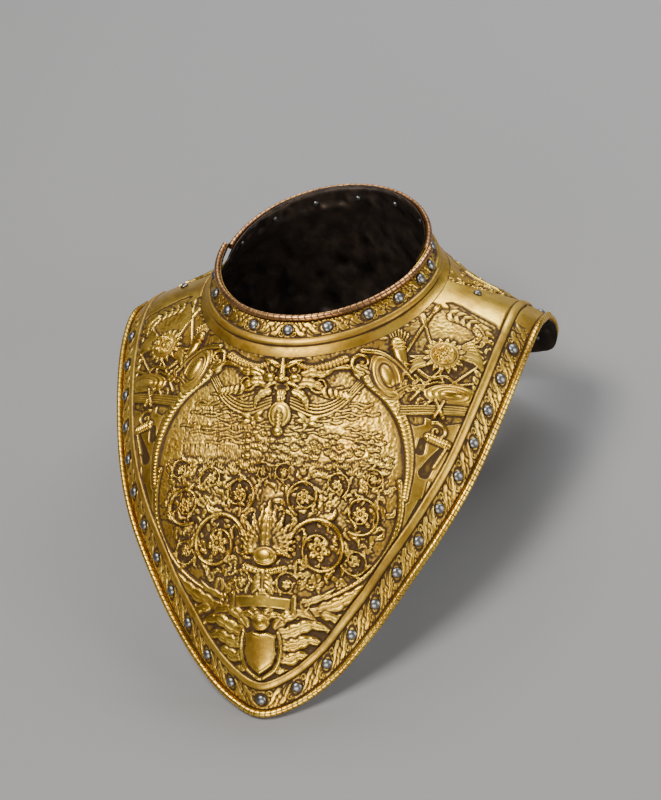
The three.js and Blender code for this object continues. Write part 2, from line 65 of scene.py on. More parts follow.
# The plates' shared surface
NECK_HALF_WIDTH, NECK_HALF_DEPTH, NECK_RISE = 75.0, 70.0, 44.6
COLLAR_HEIGHT, COLLAR_FLARE, COLLAR_FILLET = 22.5, 10.5, 5.0
SHOULDER_REACH, FRONT_DEPTH, FRONT_DROP = 156.0, 125.0, 315.0
BACK_DEPTH, BACK_DROP = 118.0, 102.0
FRONT_SWELL, SHOULDER_SWELL, BACK_SWELL = 14.0, 3.5, 9.0
SWELL_PEAK = 27 / 4
SEAM_ANGLE = 92.0
EVEN_SHARE = 0.45
SHEET, PIECE_GAP = 1.2, 0.3
RIM_WIDTH, RIM_HEIGHT = 4.6, 2.6
LEAF_BAND, MOULDING_WIDTH, MOULDING_HEIGHT = 13.2, 6.4, 1.8
BAND_END = RIM_WIDTH + LEAF_BAND
BAND_MIDDLE = RIM_WIDTH + LEAF_BAND / 2
MOULDING_END = BAND_END + MOULDING_WIDTH
BAY = 26.7
FIELD_START = math.hypot(COLLAR_HEIGHT, COLLAR_FLARE) + COLLAR_FILLET
COLLAR_SQUEEZE = 0.93
SEAM_BAND_HEIGHT, SEAM_CLEAR = 0.5, 8.0
SHOULDER_LAP = 22.0
RIVET_RADIUS, RIVET_HEIGHT, SHANK_RADIUS = 3.8, 2.3, 1.3
TAIL_RADIUS, TAIL_HEIGHT = 2.1, 0.6
STUD_RADIUS, STUD_HEIGHT, STUD_INSET, STUD_REACH = 3.1, 2.0, 10.0, 0.36
BORDER_RIVETS, LAST_RIVET_FROM_SEAM, BACK_RIVETS = 12, 58.0, 6
BACK_RIVET_CLEAR_TURN = 0.06
STUD_LIFT = 0.85
FRONT_NECK_ANGLES = (0, 20, 41, 59, 76, 87.5)
BACK_NECK_ANGLES = (180, 155.5, 131, 106)

FRONT_EDGE_ROWS = np.array([
    (0.000, -1.000, -1.000), (0.140, -0.962, -0.978), (0.296, -0.905, -0.921),
    (0.467, -0.840, -0.819), (0.620, -0.755, -0.701), (0.735, -0.655, -0.602),
    (0.832, -0.510, -0.496), (0.925, -0.285, -0.345), (0.975, -0.090, -0.240),
    (0.996, 0.100, -0.178), (1.000, 0.305, -0.159),
]) * [SHOULDER_REACH, FRONT_DEPTH, FRONT_DROP]
BACK_EDGE_ROWS = np.array([
    (1.000, 0.323, -0.491), (0.998, 0.480, -0.540), (0.988, 0.590, -0.635),
    (0.955, 0.652, -0.728), (0.885, 0.703, -0.758), (0.775, 0.782, -0.795),
    (0.650, 0.852, -0.925), (0.520, 0.907, -1.000), (0.370, 0.954, -0.975),
    (0.185, 0.988, -0.900), (0.000, 1.000, -0.865),
]) * [SHOULDER_REACH, BACK_DEPTH, BACK_DROP]

# The chart on which the front field is drawn
CHART_TILT = math.radians(30)
CHART_LOW, CHART_HIGH, CHART_PITCH = (-164.0, -330.0), (164.0, 40.0), 0.36


# Shared surface


def smooth_line(points, per_span=120):
    """Centripetal cubic through points: Hermite spans whose tangents weigh by root distance."""
    ends = np.vstack([2 * points[0] - points[1], points, 2 * points[-1] - points[-2]])
    before, start, stop, after = ends[:-3], ends[1:-2], ends[2:-1], ends[3:]

    def gap(a, b):
        return np.sqrt(np.linalg.norm(b - a, axis=1))[:, None]

    g0, g1, g2 = gap(before, start), gap(start, stop), gap(stop, after)
    tan_a = ((start - before) / g0 - (stop - before) / (g0 + g1) + (stop - start) / g1) * g1
    tan_b = ((stop - start) / g1 - (after - start) / (g1 + g2) + (after - stop) / g2) * g1
    u = np.linspace(0, 1, per_span, endpoint=False)[None, :, None]
    spans = (
        (2 * u**3 - 3 * u**2 + 1) * start[:, None] + (u**3 - 2 * u**2 + u) * tan_a[:, None]
        + (-2 * u**3 + 3 * u**2) * stop[:, None] + (u**3 - u**2) * tan_b[:, None]
    )
    line = np.vstack([spans.reshape(-1, points.shape[1]), points[-1]])
    arc = np.concatenate([[0], np.cumsum(np.linalg.norm(np.diff(line, axis=0), axis=1))])
    return line, arc


def half_curve(points, mirrored_first):
    """Edge curve through rows and their mirror image, with its arc lengths, start and half length."""
    mirror = points * [-1, 1, 1]
    whole = np.vstack([mirror[:0:-1], points] if mirrored_first else [points, mirror[-2::-1]])
    line, arc = smooth_line(whole)
    half = arc[-1] / 2
    return line, arc, half if mirrored_first else 0.0, half


FRONT_CURVE = half_curve(FRONT_EDGE_ROWS, True)
BACK_CURVE = half_curve(BACK_EDGE_ROWS, False)


def walk(curve, share):
    """Points at shares of the half length of an edge curve."""
    line, arc, start, half = curve
    along = start + np.clip(share, 0, 1) * half
    return np.stack([np.interp(along, arc, line[:, k]) for k in range(3)], -1)


def neck_angle(turn):
    """Angle round the neck: linear behind the seam, an even and a square share before it."""
    ahead = SEAM_ANGLE * (EVEN_SHARE * turn + (1 - EVEN_SHARE) * turn * turn)
    return np.radians(np.where(turn > 1, SEAM_ANGLE + (180 - SEAM_ANGLE) * (turn - 1), ahead))


def turn_at(angle):
    """Turn whose neck angle is the given one."""
    if angle > SEAM_ANGLE:
        return 1 + (angle - SEAM_ANGLE) / (180 - SEAM_ANGLE)
    rest = 1 - EVEN_SHARE
    return (-EVEN_SHARE + math.sqrt(EVEN_SHARE**2 + 4 * rest * angle / SEAM_ANGLE)) / (2 * rest)


def ellipse_point(angle, out, drop):
    """Point of the neck ellipse widened by out and lowered by drop; the plane tilts with the cosine."""
    return np.stack([
        (NECK_HALF_WIDTH + out) * np.sin(angle),
        -(NECK_HALF_DEPTH + out) * np.cos(angle),
        -NECK_RISE * np.cos(angle) - drop,
    ], -1)


def edge_point(turn):
    """Point of the lower edge, front or back."""
    return np.where((turn > 1)[..., None], walk(BACK_CURVE, turn - 1), walk(FRONT_CURVE, turn))


def meridian(turn):
    """Lines from rim to edge: rim, foot and edge points, fall, outward direction, slant, swell and runs."""
    t = np.clip(np.abs(turn), 0, 2)
    angle = neck_angle(t)
    rim, foot = ellipse_point(angle, 0, 0), ellipse_point(angle, COLLAR_FLARE, COLLAR_HEIGHT)
    edge = edge_point(t)
    low, high = np.maximum(t - 0.004, 0), np.minimum(t + 0.004, 2)
    edge_run = edge_point(high) - edge_point(low)
    foot_run = (ellipse_point(neck_angle(high), COLLAR_FLARE, COLLAR_HEIGHT)
                - ellipse_point(neck_angle(low), COLLAR_FLARE, COLLAR_HEIGHT))
    fall = edge - foot
    out = np.cross(fall, edge_run + foot_run)
    out /= np.linalg.norm(out, axis=-1, keepdims=True)
    edge_run /= np.linalg.norm(edge_run, axis=-1, keepdims=True)
    field = np.linalg.norm(fall, axis=-1)
    cosine = (edge_run * fall).sum(-1) / field
    share = np.where(t > 1, t - 1, 1 - t)
    far = np.where(t > 1, BACK_SWELL, FRONT_SWELL)
    return {
        "rim": rim, "foot": foot, "fall": fall, "out": out, "slant": np.sqrt(1 - cosine**2),
        "swell": SHOULDER_SWELL + (far - SHOULDER_SWELL) * share * (2 - share),
        "collar": np.linalg.norm(foot - rim, axis=-1), "field": field,
    }


def surface(turn, distance):
    """Points (rows, columns, 3) for turns (columns) and distances (rows, columns).

    A straight collar, then the fall to the edge plus the swell times share
    squared times one less share, and a quadratic turn between the two.
    """
    m = meridian(turn)

    def plain(d):
        share = np.clip((d - m["collar"]) / m["field"], 0, None)
        lift = (SWELL_PEAK * share * share * (1 - share) * m["swell"])[..., None]
        down = np.clip(d / m["collar"], 0, 1)[..., None]
        collar = m["rim"] + (m["foot"] - m["rim"]) * down
        field = m["foot"] + m["fall"] * share[..., None] + m["out"] * lift
        return np.where((d <= m["collar"])[..., None], collar, field)

    q = (distance - (m["collar"] - COLLAR_FILLET)) / (2 * COLLAR_FILLET)
    before = plain(np.broadcast_to(m["collar"] - COLLAR_FILLET, distance.shape))
    beyond = plain(np.broadcast_to(m["collar"] + COLLAR_FILLET, distance.shape))
    k = np.clip(q, 0, 1)[..., None]
    bend = (1 - k) ** 2 * before + 2 * k * (1 - k) * m["foot"] + k**2 * beyond
    points = np.where(((q > 0) & (q < 1))[..., None], bend, plain(distance))
    points[..., 0] *= np.where(turn < 0, -1.0, 1.0)
    return points


def grid_normals(points):
    """Unit normals of a grid of points: the cross product of its row and column steps."""
    normal = np.cross(np.gradient(points, axis=0), np.gradient(points, axis=1))
    return normal / np.maximum(np.linalg.norm(normal, axis=-1, keepdims=True), 1e-9)


def point_and_normal(turn, distance):
    """One point of the shared surface and its outward normal."""
    step = 0.004
    turns = np.array([turn - step, turn, turn + step])
    runs = meridian(turns)
    share = distance / (runs["collar"][1] + runs["field"][1])
    here = share * (runs["collar"] + runs["field"])
    if distance <= runs["collar"][1]:
        here = distance / runs["collar"][1] * runs["collar"]
    grid = surface(turns, np.stack([here - 0.5, here, here + 0.5]))
    return grid[1, 1], grid_normals(grid)[1, 1]


def turns_near_seam(width):
    """Share of a turn that a width covers half way along the shoulder seam."""
    rate = EVEN_SHARE + 2 * (1 - EVEN_SHARE)
    collar = (NECK_HALF_WIDTH + COLLAR_FLARE) * math.radians(SEAM_ANGLE) * rate
    return width / ((FRONT_CURVE[3] + collar) / 2)


def chart_of(points):
    """Chart place of points: x, and height seen from 30 degrees above."""
    v = points[..., 1] * math.sin(CHART_TILT) + points[..., 2] * math.cos(CHART_TILT)
    return points[..., 0], v


def to_edge(turns):
    """Distance from the rim to the edge, and the slant at which it meets the edge."""
    m = meridian(turns)
    return m["collar"] + m["field"], m["slant"]


def from_edge(turns, distances):
    """Way in from the edge, square to it."""
    run, slant = to_edge(turns)
    return (run - distances) * slant


def in_from_edge(turns, off):
    """Distances of places a given way in from the edge."""
    run, slant = to_edge(turns)
    return run - off / slant


def from_rim(turns, distances):
    """Way down the collar as its squeezed leaf band counts it."""
    return distances / COLLAR_SQUEEZE


# Turns of the rivets, from the middle of each plate outwards
FRONT_NECK_TURNS = [turn_at(a) for a in FRONT_NECK_ANGLES]
BACK_NECK_TURNS = [turn_at(a) for a in BACK_NECK_ANGLES]
FRONT_STEP = (1 - LAST_RIVET_FROM_SEAM / FRONT_CURVE[3]) / BORDER_RIVETS
FRONT_BORDER_TURNS = [FRONT_STEP * n for n in range(BORDER_RIVETS + 1)]
BACK_STEP = (2 - (1 + SEAM_CLEAR / BACK_CURVE[3]) - BACK_RIVET_CLEAR_TURN) / (BACK_RIVETS - 0.5)
BACK_BORDER_TURNS = [2 - BACK_STEP * (n - 0.5) for n in range(1, BACK_RIVETS + 1)]


# Relief drawn on flat charts

LEAF_TAPER = 0.85


def blur(field, radius, pitch):
    """Gaussian blur by multiplying the spectrum with exp(-2 (pi r f)^2)."""
    rows = np.fft.fftfreq(field.shape[0], pitch)[:, None]
    cols = np.fft.rfftfreq(field.shape[1], pitch)[None, :]
    soft = np.exp(-2 * (math.pi * radius) ** 2 * (rows**2 + cols**2))
    return np.fft.irfft2(np.fft.rfft2(field) * soft, field.shape)


def curve(points, per_span=7):
    """Smooth plane curve through a few points."""
    points = np.asarray(points, float)
    if len(points) == 2:
        return points
    return smooth_line(points, per_span)[0]


def spiral(centre, radius, start, turns, inner=0.12, count=44):
    """Points of a spiral that shrinks evenly from radius to inner times radius."""
    share = np.linspace(0, 1, count)
    angle = math.radians(start) + 2 * math.pi * turns * share
    r = radius * (1 - (1 - inner) * share)
    return np.stack([centre[0] + r * np.cos(angle), centre[1] + r * np.sin(angle)], -1)


class Relief:
    """Heights in millimetres on a chart, laid on one form after another."""

    def __init__(self, low, high, pitch, wrap=0.0):
        self.low, self.pitch, self.wrap = np.array(low, float), pitch, wrap
        count = np.ceil((np.array(high) - low) / pitch).astype(int) + 1
        self.height = np.zeros((count[1], count[0]))
        # Shade painted round the foot of forms, in grooves, slots and engraved lines
        self.painted_shade = np.zeros_like(self.height)

    def window(self, low, high):
        """Slices and coordinates of the part of the chart between two corners."""
        first = np.clip(np.floor((low - self.low) / self.pitch), 0, None).astype(int)
        last = np.ceil((high - self.low) / self.pitch).astype(int) + 1
        rows, cols = slice(first[1], max(last[1], first[1])), slice(first[0], max(last[0], first[0]))
        part = self.height[rows, cols]
        x = self.low[0] + (first[0] + np.arange(part.shape[1])) * self.pitch
        v = self.low[1] + (first[1] + np.arange(part.shape[0])) * self.pitch
        return (rows, cols), *np.meshgrid(x, v)

    def near(self, points, reach):
        """Window round a line, with the share run along it and the signed distance off it."""
        points = np.asarray(points, float)
        where, x, v = self.window(points.min(0) - reach, points.max(0) + reach)
        best, run, side = np.full(x.shape, 1e9), np.zeros(x.shape), np.ones(x.shape)
        done = 0.0
        for (px, pv), (dx, dv) in zip(points[:-1], np.diff(points, axis=0)):
            length = math.hypot(dx, dv) or 1e-9
            u = np.clip(((x - px) * dx + (v - pv) * dv) / length**2, 0, 1)
            ex, ev = x - px - u * dx, v - pv - u * dv
            off = ex * ex + ev * ev
            closer = off < best
            best[closer] = off[closer]
            run[closer] = (done + u * length)[closer]
            side[closer] = np.sign(dx * ev - dv * ex)[closer]
            done += length
        return where, run / done, np.where(side < 0, -1, 1) * np.sqrt(best), done

    def lay(self, where, top, off, groove=0.35, painted_shade_strength=0.4):
        """Puts a form over what is there; off is the distance outside its outline. Shade is painted in a
        narrow band just outside the outline.
        """
        part = self.height[where]
        cover = np.clip(0.5 - off / (2 * self.pitch), 0, 1)
        part += cover * (top - part)
        part -= groove * np.exp(-(((off - 0.35) / 0.42) ** 2)) * (1 - cover)
        # Painted shade in a narrow band just outside the outline, cleared under the form
        painted_shade = self.painted_shade[where]
        painted_shade *= 1 - cover
        np.maximum(painted_shade, painted_shade_strength * np.exp(-(((off - 0.25) / 0.45) ** 2)), out=painted_shade)

    def rib(self, points, width, height, taper=(1, 1), lift=0.0, painted_shade_strength=0.4, beads=0.0, groove=0.35):
        """Round rib along a line: a half ellipse across it, with beads along it."""
        where, share, off, length = self.near(points, width + 1.5)
        half = width / 2 * (taper[0] + (taper[1] - taper[0]) * share)
        across = np.clip(1 - (off / np.maximum(half, 1e-3)) ** 2, 0, 1)
        top = lift + height * np.sqrt(across) * (0.4 + 0.6 * half / (width / 2))
        if beads:
            wave = np.cos(2 * math.pi * share * length / beads)
            top -= 0.45 * height * np.clip(-wave, 0, 1) ** 0.7 * (across > 0)
        self.lay(where, top, np.abs(off) - half, groove, painted_shade_strength)

    def strap(self, points, width, height, taper=(1, 1)):
        """Flat band with raised lips along both sides."""
        where, share, off, _ = self.near(points, width + 1.5)
        half = width / 2 * (taper[0] + (taper[1] - taper[0]) * share)
        side = np.abs(off) / np.maximum(half, 1e-3)
        top = height + 0.35 * np.exp(-(((side - 0.78) / 0.2) ** 2))
        self.lay(where, top, np.abs(off) - half, 0.4)

    def leaf(self, points, width, height, lobes=0, lift=0.15, groove=0.3, tip=0.62):
        """Leaf along a line: swells then tapers, with a mid rib line, side veins and lobed edges."""
        line = curve(points)
        where, share, off, length = self.near(line, width + 1.2)
        wide = 0.5 ** (1 / tip)
        rise = LEAF_TAPER * wide / (1 - wide)
        share = np.clip(share, 0, 1)
        half = width / 2 * (share / wide) ** rise * ((1 - share) / (1 - wide)) ** LEAF_TAPER
        if lobes:
            half *= 0.7 + 0.3 * np.abs(np.sin(math.pi * lobes * share)) ** 0.7
        side = np.abs(off) / np.maximum(half, 1e-3)
        top = lift + height * (1 - 0.5 * np.clip(side, 0, 1) ** 2) * (0.55 + 0.45 * np.sin(math.pi * share))
        top -= 0.35 * height * np.exp(-((off / np.maximum(0.22 * half, 0.3)) ** 2))
        if lobes:
            vein = np.cos(2 * math.pi * (lobes * share - 0.28 * np.abs(off) * lobes / length * 2))
            top -= 0.22 * height * np.clip(vein, 0, 1) ** 3 * np.clip(side * 1.5, 0, 1)
        self.lay(where, top, np.abs(off) - half, groove)

    def acanthus(self, points, width, height, count, lift):
        """Leaf of overlapping lobes: pairs of leaflets off a tapering rib, longest below its middle."""
        line = curve(points, 12)
        for k, n in enumerate(np.linspace(1, len(line) - 4, count).astype(int)):
            along = line[n + 2] - line[n - 1]
            along /= np.linalg.norm(along)
            across = np.array([-along[1], along[0]])
            reach = width * (0.42 + 0.22 * math.sin(math.pi * (k + 0.8) / (count + 0.6)))
            for way in (1, -1):
                bow = line[n] + along * reach * 0.45 + across * way * reach * 0.55
                tip = line[n] + along * reach * 0.9 + across * way * reach * 0.775
                self.leaf([line[n], bow, tip], reach * 0.62, height * (0.8 + 0.05 * k), lift=lift, tip=0.75)
        self.leaf(line[-max(4, len(line) // 3):], width * 0.36, height, lift=lift)
        self.rib(line[:-3], width * 0.15, height * 1.05, (1.2, 0.5), lift)

    def dome(self, centre, half, height, angle=0.0, rings=(), lift=0.2, power=0.5, groove=0.45):
        """Raised oval: height times (1 - r^2) to a power, less a groove at each ring share."""
        a = math.radians(angle)
        reach = max(half) + 1.5
        where, x, v = self.window(np.array(centre) - reach, np.array(centre) + reach)
        dx, dv = x - centre[0], v - centre[1]
        along = (dx * math.cos(a) + dv * math.sin(a)) / half[0]
        across = (-dx * math.sin(a) + dv * math.cos(a)) / half[1]
        r = np.hypot(along, across)
        scale = min(half)
        top = lift + height * np.clip(1 - r**2, 0, 1) ** power
        for ring in rings:
            top -= 0.3 * height * np.exp(-(((r - ring) * scale / 0.55) ** 2))
        self.lay(where, top, (r - 1) * scale, groove)

    def volute(self, centre, radius, start, turns, width, height, lift=0.1):
        """Tapering spiral scroll with a round eye."""
        self.rib(spiral(centre, radius, start, turns), width, height, (1, 0.45), lift)
        self.dome(centre, (width * 0.42, width * 0.42), height * 1.15, lift=lift)

    def rosette(self, centre, radius, height, petals=6, start=0.0):
        """Flower of short leaves round a bead."""
        for k in range(petals):
            a = math.radians(start) + 2 * math.pi * k / petals
            out = np.array([math.cos(a), math.sin(a)])
            self.leaf([np.array(centre) + out * radius * 0.2, np.array(centre) + out * radius],
                      radius * 0.62, height, tip=0.9)
        self.dome(centre, (radius * 0.24, radius * 0.24), height * 1.1)

    def lift_near(self, centre, radius, amount):
        """Raises everything within a radius, so that what was drawn there stands on the form under it."""
        where, x, v = self.window(np.array(centre) - radius - 2, np.array(centre) + radius + 2)
        r = np.hypot(x - centre[0], v - centre[1])
        self.height[where] += amount * np.clip((radius - r) / 0.8, 0, 1)

    def outline(self, points):
        """Signed distance to a polygon over the whole chart, negative inside, with the chart's places."""
        points = np.asarray(points, float)
        _, x, v = self.window(self.low, self.low + self.pitch * np.array(self.height.shape[::-1]))
        best, inside = np.full(x.shape, 1e9), np.zeros(x.shape, bool)
        for (ax, av), (bx, bv) in zip(points, np.roll(points, -1, axis=0)):
            dx, dv = bx - ax, bv - av
            u = np.clip(((x - ax) * dx + (v - av) * dv) / max(dx * dx + dv * dv, 1e-9), 0, 1)
            best = np.minimum(best, (x - ax - u * dx) ** 2 + (v - av - u * dv) ** 2)
            crosses = (av > v) != (bv > v)
            inside ^= crosses & (x < ax + (v - av) * dx / (dv if dv else 1e-9))
        return np.where(inside, -1, 1) * np.sqrt(best), x, v

    def slot(self, points, width, depth=0.7, ends=(1, 1)):
        """Sunk slot along a line with a fine raised lip, and shade painted in the slot and along its edge."""
        where, share, off, _ = self.near(points, width + 2)
        half = width / 2 * (ends[0] + (ends[1] - ends[0]) * share)
        edge = np.abs(off) - half
        part = self.height[where]
        sunk = np.clip(0.5 - edge / 0.8, 0, 1)
        part -= depth * sunk
        part += 0.25 * np.exp(-(((edge - 0.9) / 0.5) ** 2))
        self.painted_shade[where] = np.maximum(self.painted_shade[where], 0.3 * sunk)
        self.painted_shade[where] = np.maximum(self.painted_shade[where], 0.6 * np.exp(-((edge / 0.45) ** 2)))

    def line(self, points, depth=0.3, width=0.8, painted_shade_strength=0.7):
        """Engraved line, with shade painted along it."""
        where, _, off, _ = self.near(curve(points), 2.5)
        cut = np.exp(-((off / (width / 2)) ** 2))
        self.height[where] -= depth * cut
        self.painted_shade[where] = np.maximum(self.painted_shade[where], painted_shade_strength * cut)

    def finish(self):
        """Maps of painted shade in recesses, with the painted shade layer added, and of rubbing and painted
        highlight on raised parts: how far the blurred height stands over or under the height.
        """
        self.recess = np.clip(
            1.5 * (blur(self.height, 0.9, self.pitch) - self.height)
            + 0.62 * (blur(self.height, 2.8, self.pitch) - self.height)
            + 0.25 * (blur(self.height, 7.0, self.pitch) - self.height) + self.painted_shade, 0, 1)
        self.rub = np.clip((self.height - blur(self.height, 1.6, self.pitch)) * 1.1, 0, 1)
        return self

    def sample(self, layer, x, v):
        """Bilinear values of a layer at chart places."""
        col = (x - self.low[0]) / self.pitch
        if self.wrap:
            col = np.mod(x - self.low[0], self.wrap) / self.pitch
        row = np.clip((v - self.low[1]) / self.pitch, 0, layer.shape[0] - 1.001)
        col = np.clip(col, 0, layer.shape[1] - 1.001)
        r, c = row.astype(int), col.astype(int)
        fr, fc = row - r, col - c
        return (layer[r, c] * (1 - fr) * (1 - fc) + layer[r + 1, c] * fr * (1 - fc)
                + layer[r, c + 1] * (1 - fr) * fc + layer[r + 1, c + 1] * fr * fc)


# Ornament of the front field

OVAL_CENTRE, OVAL_HALF = (0.0, -195.0), (90.0, 73.0)
OVAL_TOP, OVAL_TOP_POWER, OVAL_MEAN = 92.0, 2.8, 78.0
PLATE_HEIGHT, PLATE_FOOT, PLATE_FADE = 0.75, -262.0, 14.0
GRAIN_HEIGHT = 0.10
PANEL = [
    (10, -60), (67, -63), (78, -46), (88, -42.8), (94, -45.8), (98.6, -46.5), (99.0, -43.5),
    (96.0, -40.8), (100.0, -39.4), (107, -41.5), (114.6, -45.5), (123, -49), (131.5, -52.7),
    (134.2, -57), (132.6, -61), (136, -66.1), (139, -76), (146, -92), (150, -110), (140, -124),
    (128, -128), (118, -133), (112, -135.6), (104, -133.6), (98.6, -132.4), (98.8, -137.7),
    (93.7, -140.3), (84.5, -135.1), (70, -128), (52, -116), (20, -104),
]

# Ribbed ring under the oval and ribbed horns beside its top
RING_ANGLES, RING_HALF, RING_SWELL, RING_PITCH = (-192, 12), 1.1, 0.9, 3.1
HORN = [(53, -107), (62, -113.5), (74, -123), (84.5, -137), (91, -154), (93.2, -171), (92.0, -190)]
HORN_HALF, HORN_PITCH, HORN_HEIGHT = (5.6, 1.9), (4.4, 3.0), (2.5, 1.5)

# Forms that take one place, and forms drawn along a smoothed line
ROUND_FORMS, CURVED_FORMS = ("dome", "volute"), ("rib", "strap")

SWAG_RIBS = (
    # lowered by, width
    (0.0, 1.4), (2.2, 1.6), (4.6, 1.8), (7.2, 2.0),
)

# Each row of these tables: form, points, then the sizes in the order of that form's own arguments
COLLAR_SCROLLS = (
    ("volute", ((26.5, -119.5),), 8.2, 90, 1.4, 3.0, 2.2),
    ("rib", ((26, -111.4), (38, -106.5), (49, -105.4), (58, -108)), 4.6, 2.4, (1, 0.7), 0.3, 0.7),
    ("volute", ((53, -101),), 8.2, -80, -1.2, 3.8, 2.7, 0.3),
    ("rib", ((52, -92.8), (64, -92.0), (76, -98), (88, -108)), 3.8, 2.2, (1, 0.6), 0.3, 0.7),
)
MASK_CENTRE, MASK_GROWTH, MASK_DROP = -109.0, 1.2, 4.2
MASK_SIDE = (
    ("rib", ((7, -103.6), (16, -106.0), (26, -103.2), (35, -98.5)), 5.4, 2.9, (0.7, 1.15), 0.5, 0.8, 2.5),
    ("leaf", ((10, -112), (17, -108.5), (24, -108.5), (30, -105)), 7.5, 1.9, 4, 0.7, 0.4, 0.5),
    ("leaf", ((9, -115), (16, -114), (23, -116), (27, -121)), 8.0, 2.0, 4, 0.7, 0.4, 0.5),
    ("leaf", ((6, -119), (11, -120.5), (15, -124.5), (16, -130)), 7.0, 1.8, 4, 0.7, 0.4, 0.5),
    ("leaf", ((2, -100.5), (8, -97.6), (15, -98.5)), 6.0, 2.2, 3, 0.7, 0.4, 0.5),
    ("leaf", ((1, -98.5), (3, -95.2), (8, -93.8)), 4.4, 2.0, 0, 0.7, 0.4, 0.5),
    ("leaf", ((0.5, -115.0), (5.5, -114.8), (10, -117.2), (14, -116.0)), 3.8, 2.2, 0, 0.7, 0.4, 0.5),
    ("dome", ((7.6, -111.8),), (4.6, 3.4), 1.9, 0, (), 1.3, 0.7),
    ("dome", ((6.8, -107.2),), (4.4, 3.1), -1.0, 0, (), 1.7, 0.6, 0.2),
    ("dome", ((6.6, -107.1),), (2.1, 1.9), 1.5, 0, (), 0.9),
    ("leaf", ((1.2, -106.2), (6.5, -103.4), (12.5, -101.6)), 3.6, 2.2, 0, 1.8, 0.5, 0.5),
)
MASK_MIDDLE = (
    ("dome", ((0, -117.6),), (5.6, 2.6), -1.6, 0, (), 2.0, 0.6, 0.8),
    ("leaf", ((0, -118.4), (0, -123), (0, -129.5)), 8.0, 2.4, 3, 0.9, 0.4, 0.5),
    ("rib", ((0, -101.5), (0, -112)), 4.0, 2.6, (0.6, 1.3), 1.2),
    ("dome", ((-2.7, -112.6),), (2.1, 1.7), 1.5, 0, (), 1.7),
    ("dome", ((2.7, -112.6),), (2.1, 1.7), 1.5, 0, (), 1.7),
    ("dome", ((0, -113.0),), (2.8, 2.3), 2.5, 0, (), 2.3),
)
SPRAY_CENTRE, SPRAY_TIPS = (20, -144.5), ((11, -145), (18, -151), (29, -148), (30, -141), (12, -139))
PENDANT = (
    ("dome", ((0, -141.5),), (8.2, 9.0), 1.4, 0, (0.8,), 1.0),
    ("dome", ((0, -139.5),), (1.4, 1.4), 1.0, 0, (), 2.2),
    ("rib", ((0, -143), (0, -151)), 5.4, 2.2, (1, 0.7), 0.8, 0.4, 2.4),
    ("dome", ((0, -153.2),), (3.8, 3.4), 2.1, 0, (), 0.6),
)
LAUREL_SPRAYS = (
    # points, leaf size, height, pairs
    (((100, -49), (112, -53), (123, -60), (131, -74)), 8.5, 1.0, 8),
    (((60, -80), (69, -71), (77, -61), (84, -50)), 6.4, 0.9, 7),
    (((92, -122), (104, -125), (120, -124)), 5.6, 0.9, 6),
)
SHAFTS = ((92, -45, 76, -100), (84, -56, 116, -126), (127, -58, 88, -122), (136, -76, 98, -124))
QUIVER_TOP, QUIVER_FOOT, QUIVER_BANDS, ARROWS = (73, -82), (80.5, -102), (0.06, 0.2, 0.82), 7
WHEEL_CENTRE, WHEEL_LEAVES, WHEEL_HALF, WHEEL_LIFT = (104, -85), 16, 9.4, 2.6
PANEL_FORMS = (
    ("rib", ((90, -100), (98, -104), (108, -101), (116, -105), (125, -102)), 3.0, 1.6, (1, 0.5), 0.5),
    ("rib", ((88, -104), (97, -108.5), (104, -106), (110, -108.4)), 2.2, 1.3, (1, 0.5), 0.5),
    ("dome", ((70.5, -108),), (18.5, 10.8), 2.2, -62, (0.86, 0.62, 0.5), 0.8, 0.6),
    ("dome", ((70.5, -108),), (8.4, 4.0), 1.8, -62, (), 2.2),
    ("acanthus", ((119, -56), (124, -60), (129, -69)), 11, 1.5, 4, 0.2),
    ("acanthus", ((140, -118), (133, -106), (130, -92)), 13, 1.7, 5, 0.2),
    ("acanthus", ((62, -74), (70, -64), (74, -54)), 10, 1.4, 4, 0.2),
    ("acanthus", ((78, -118), (86, -112), (96, -111)), 9, 1.5, 4, 0.2),
    ("dome", ((113, -113.6),), (17.6, 8.0), 1.9, 8, (0.84, 0.6), 0.7, 0.6),
    ("dome", ((113, -113.6),), (6.4, 3.0), 1.5, 8, (), 2.0),
    ("rib", ((83, -128.0), (134, -118.4)), 1.9, 1.3, (1, 1), 0.4, 0.6),
    ("rib", ((83, -129.9), (132, -120.3)), 1.9, 1.3, (1, 1), 0.4, 0.6),
    ("rib", ((83, -131.8), (130, -122.2)), 1.9, 1.3, (1, 1), 0.4, 0.6),
    ("rib", ((83, -133.7), (128, -124.1)), 1.9, 1.3, (1, 1), 0.4, 0.6),
    ("rib", ((104, -120), (110, -131)), 2.2, 1.5, (1, 1), 1.5),
    ("rib", ((109, -119.4), (104.6, -131.6)), 2.2, 1.5, (1, 1), 1.5),
)
SIDE_STRAPWORK = (
    ("slot", ((99.4, -150), (98.6, -157)), 5.4, 0.6, (0.9, 1.0)),
    ("slot", ((111.5, -153.5), (107, -161), (102.4, -171)), 6.2, 0.7, (0.55, 1.15)),
    ("volute", ((107.5, -141.4),), 6.4, 120, -1.3, 3.0, 1.9, 0.5),
    ("rib", ((103, -146.4), (114.5, -149)), 6.4, 2.2, (1, 1), 0.8, 0.4, 1.8),
    ("rib", ((114, -151), (111, -158), (107.6, -166)), 1.7, 1.0, (1, 1), 0.7),
    ("slot", ((101.5, -189), (96.5, -203)), 4.0, 0.6, (0.6, 1.1)),
    ("rib", ((106, -176), (103.6, -188), (98, -204), (88, -222)), 1.8, 1.1, (1, 0.5), 0.3),
    ("volute", ((84, -229),), 5.0, 60, 1.3, 2.2, 1.4, 0.3),
)
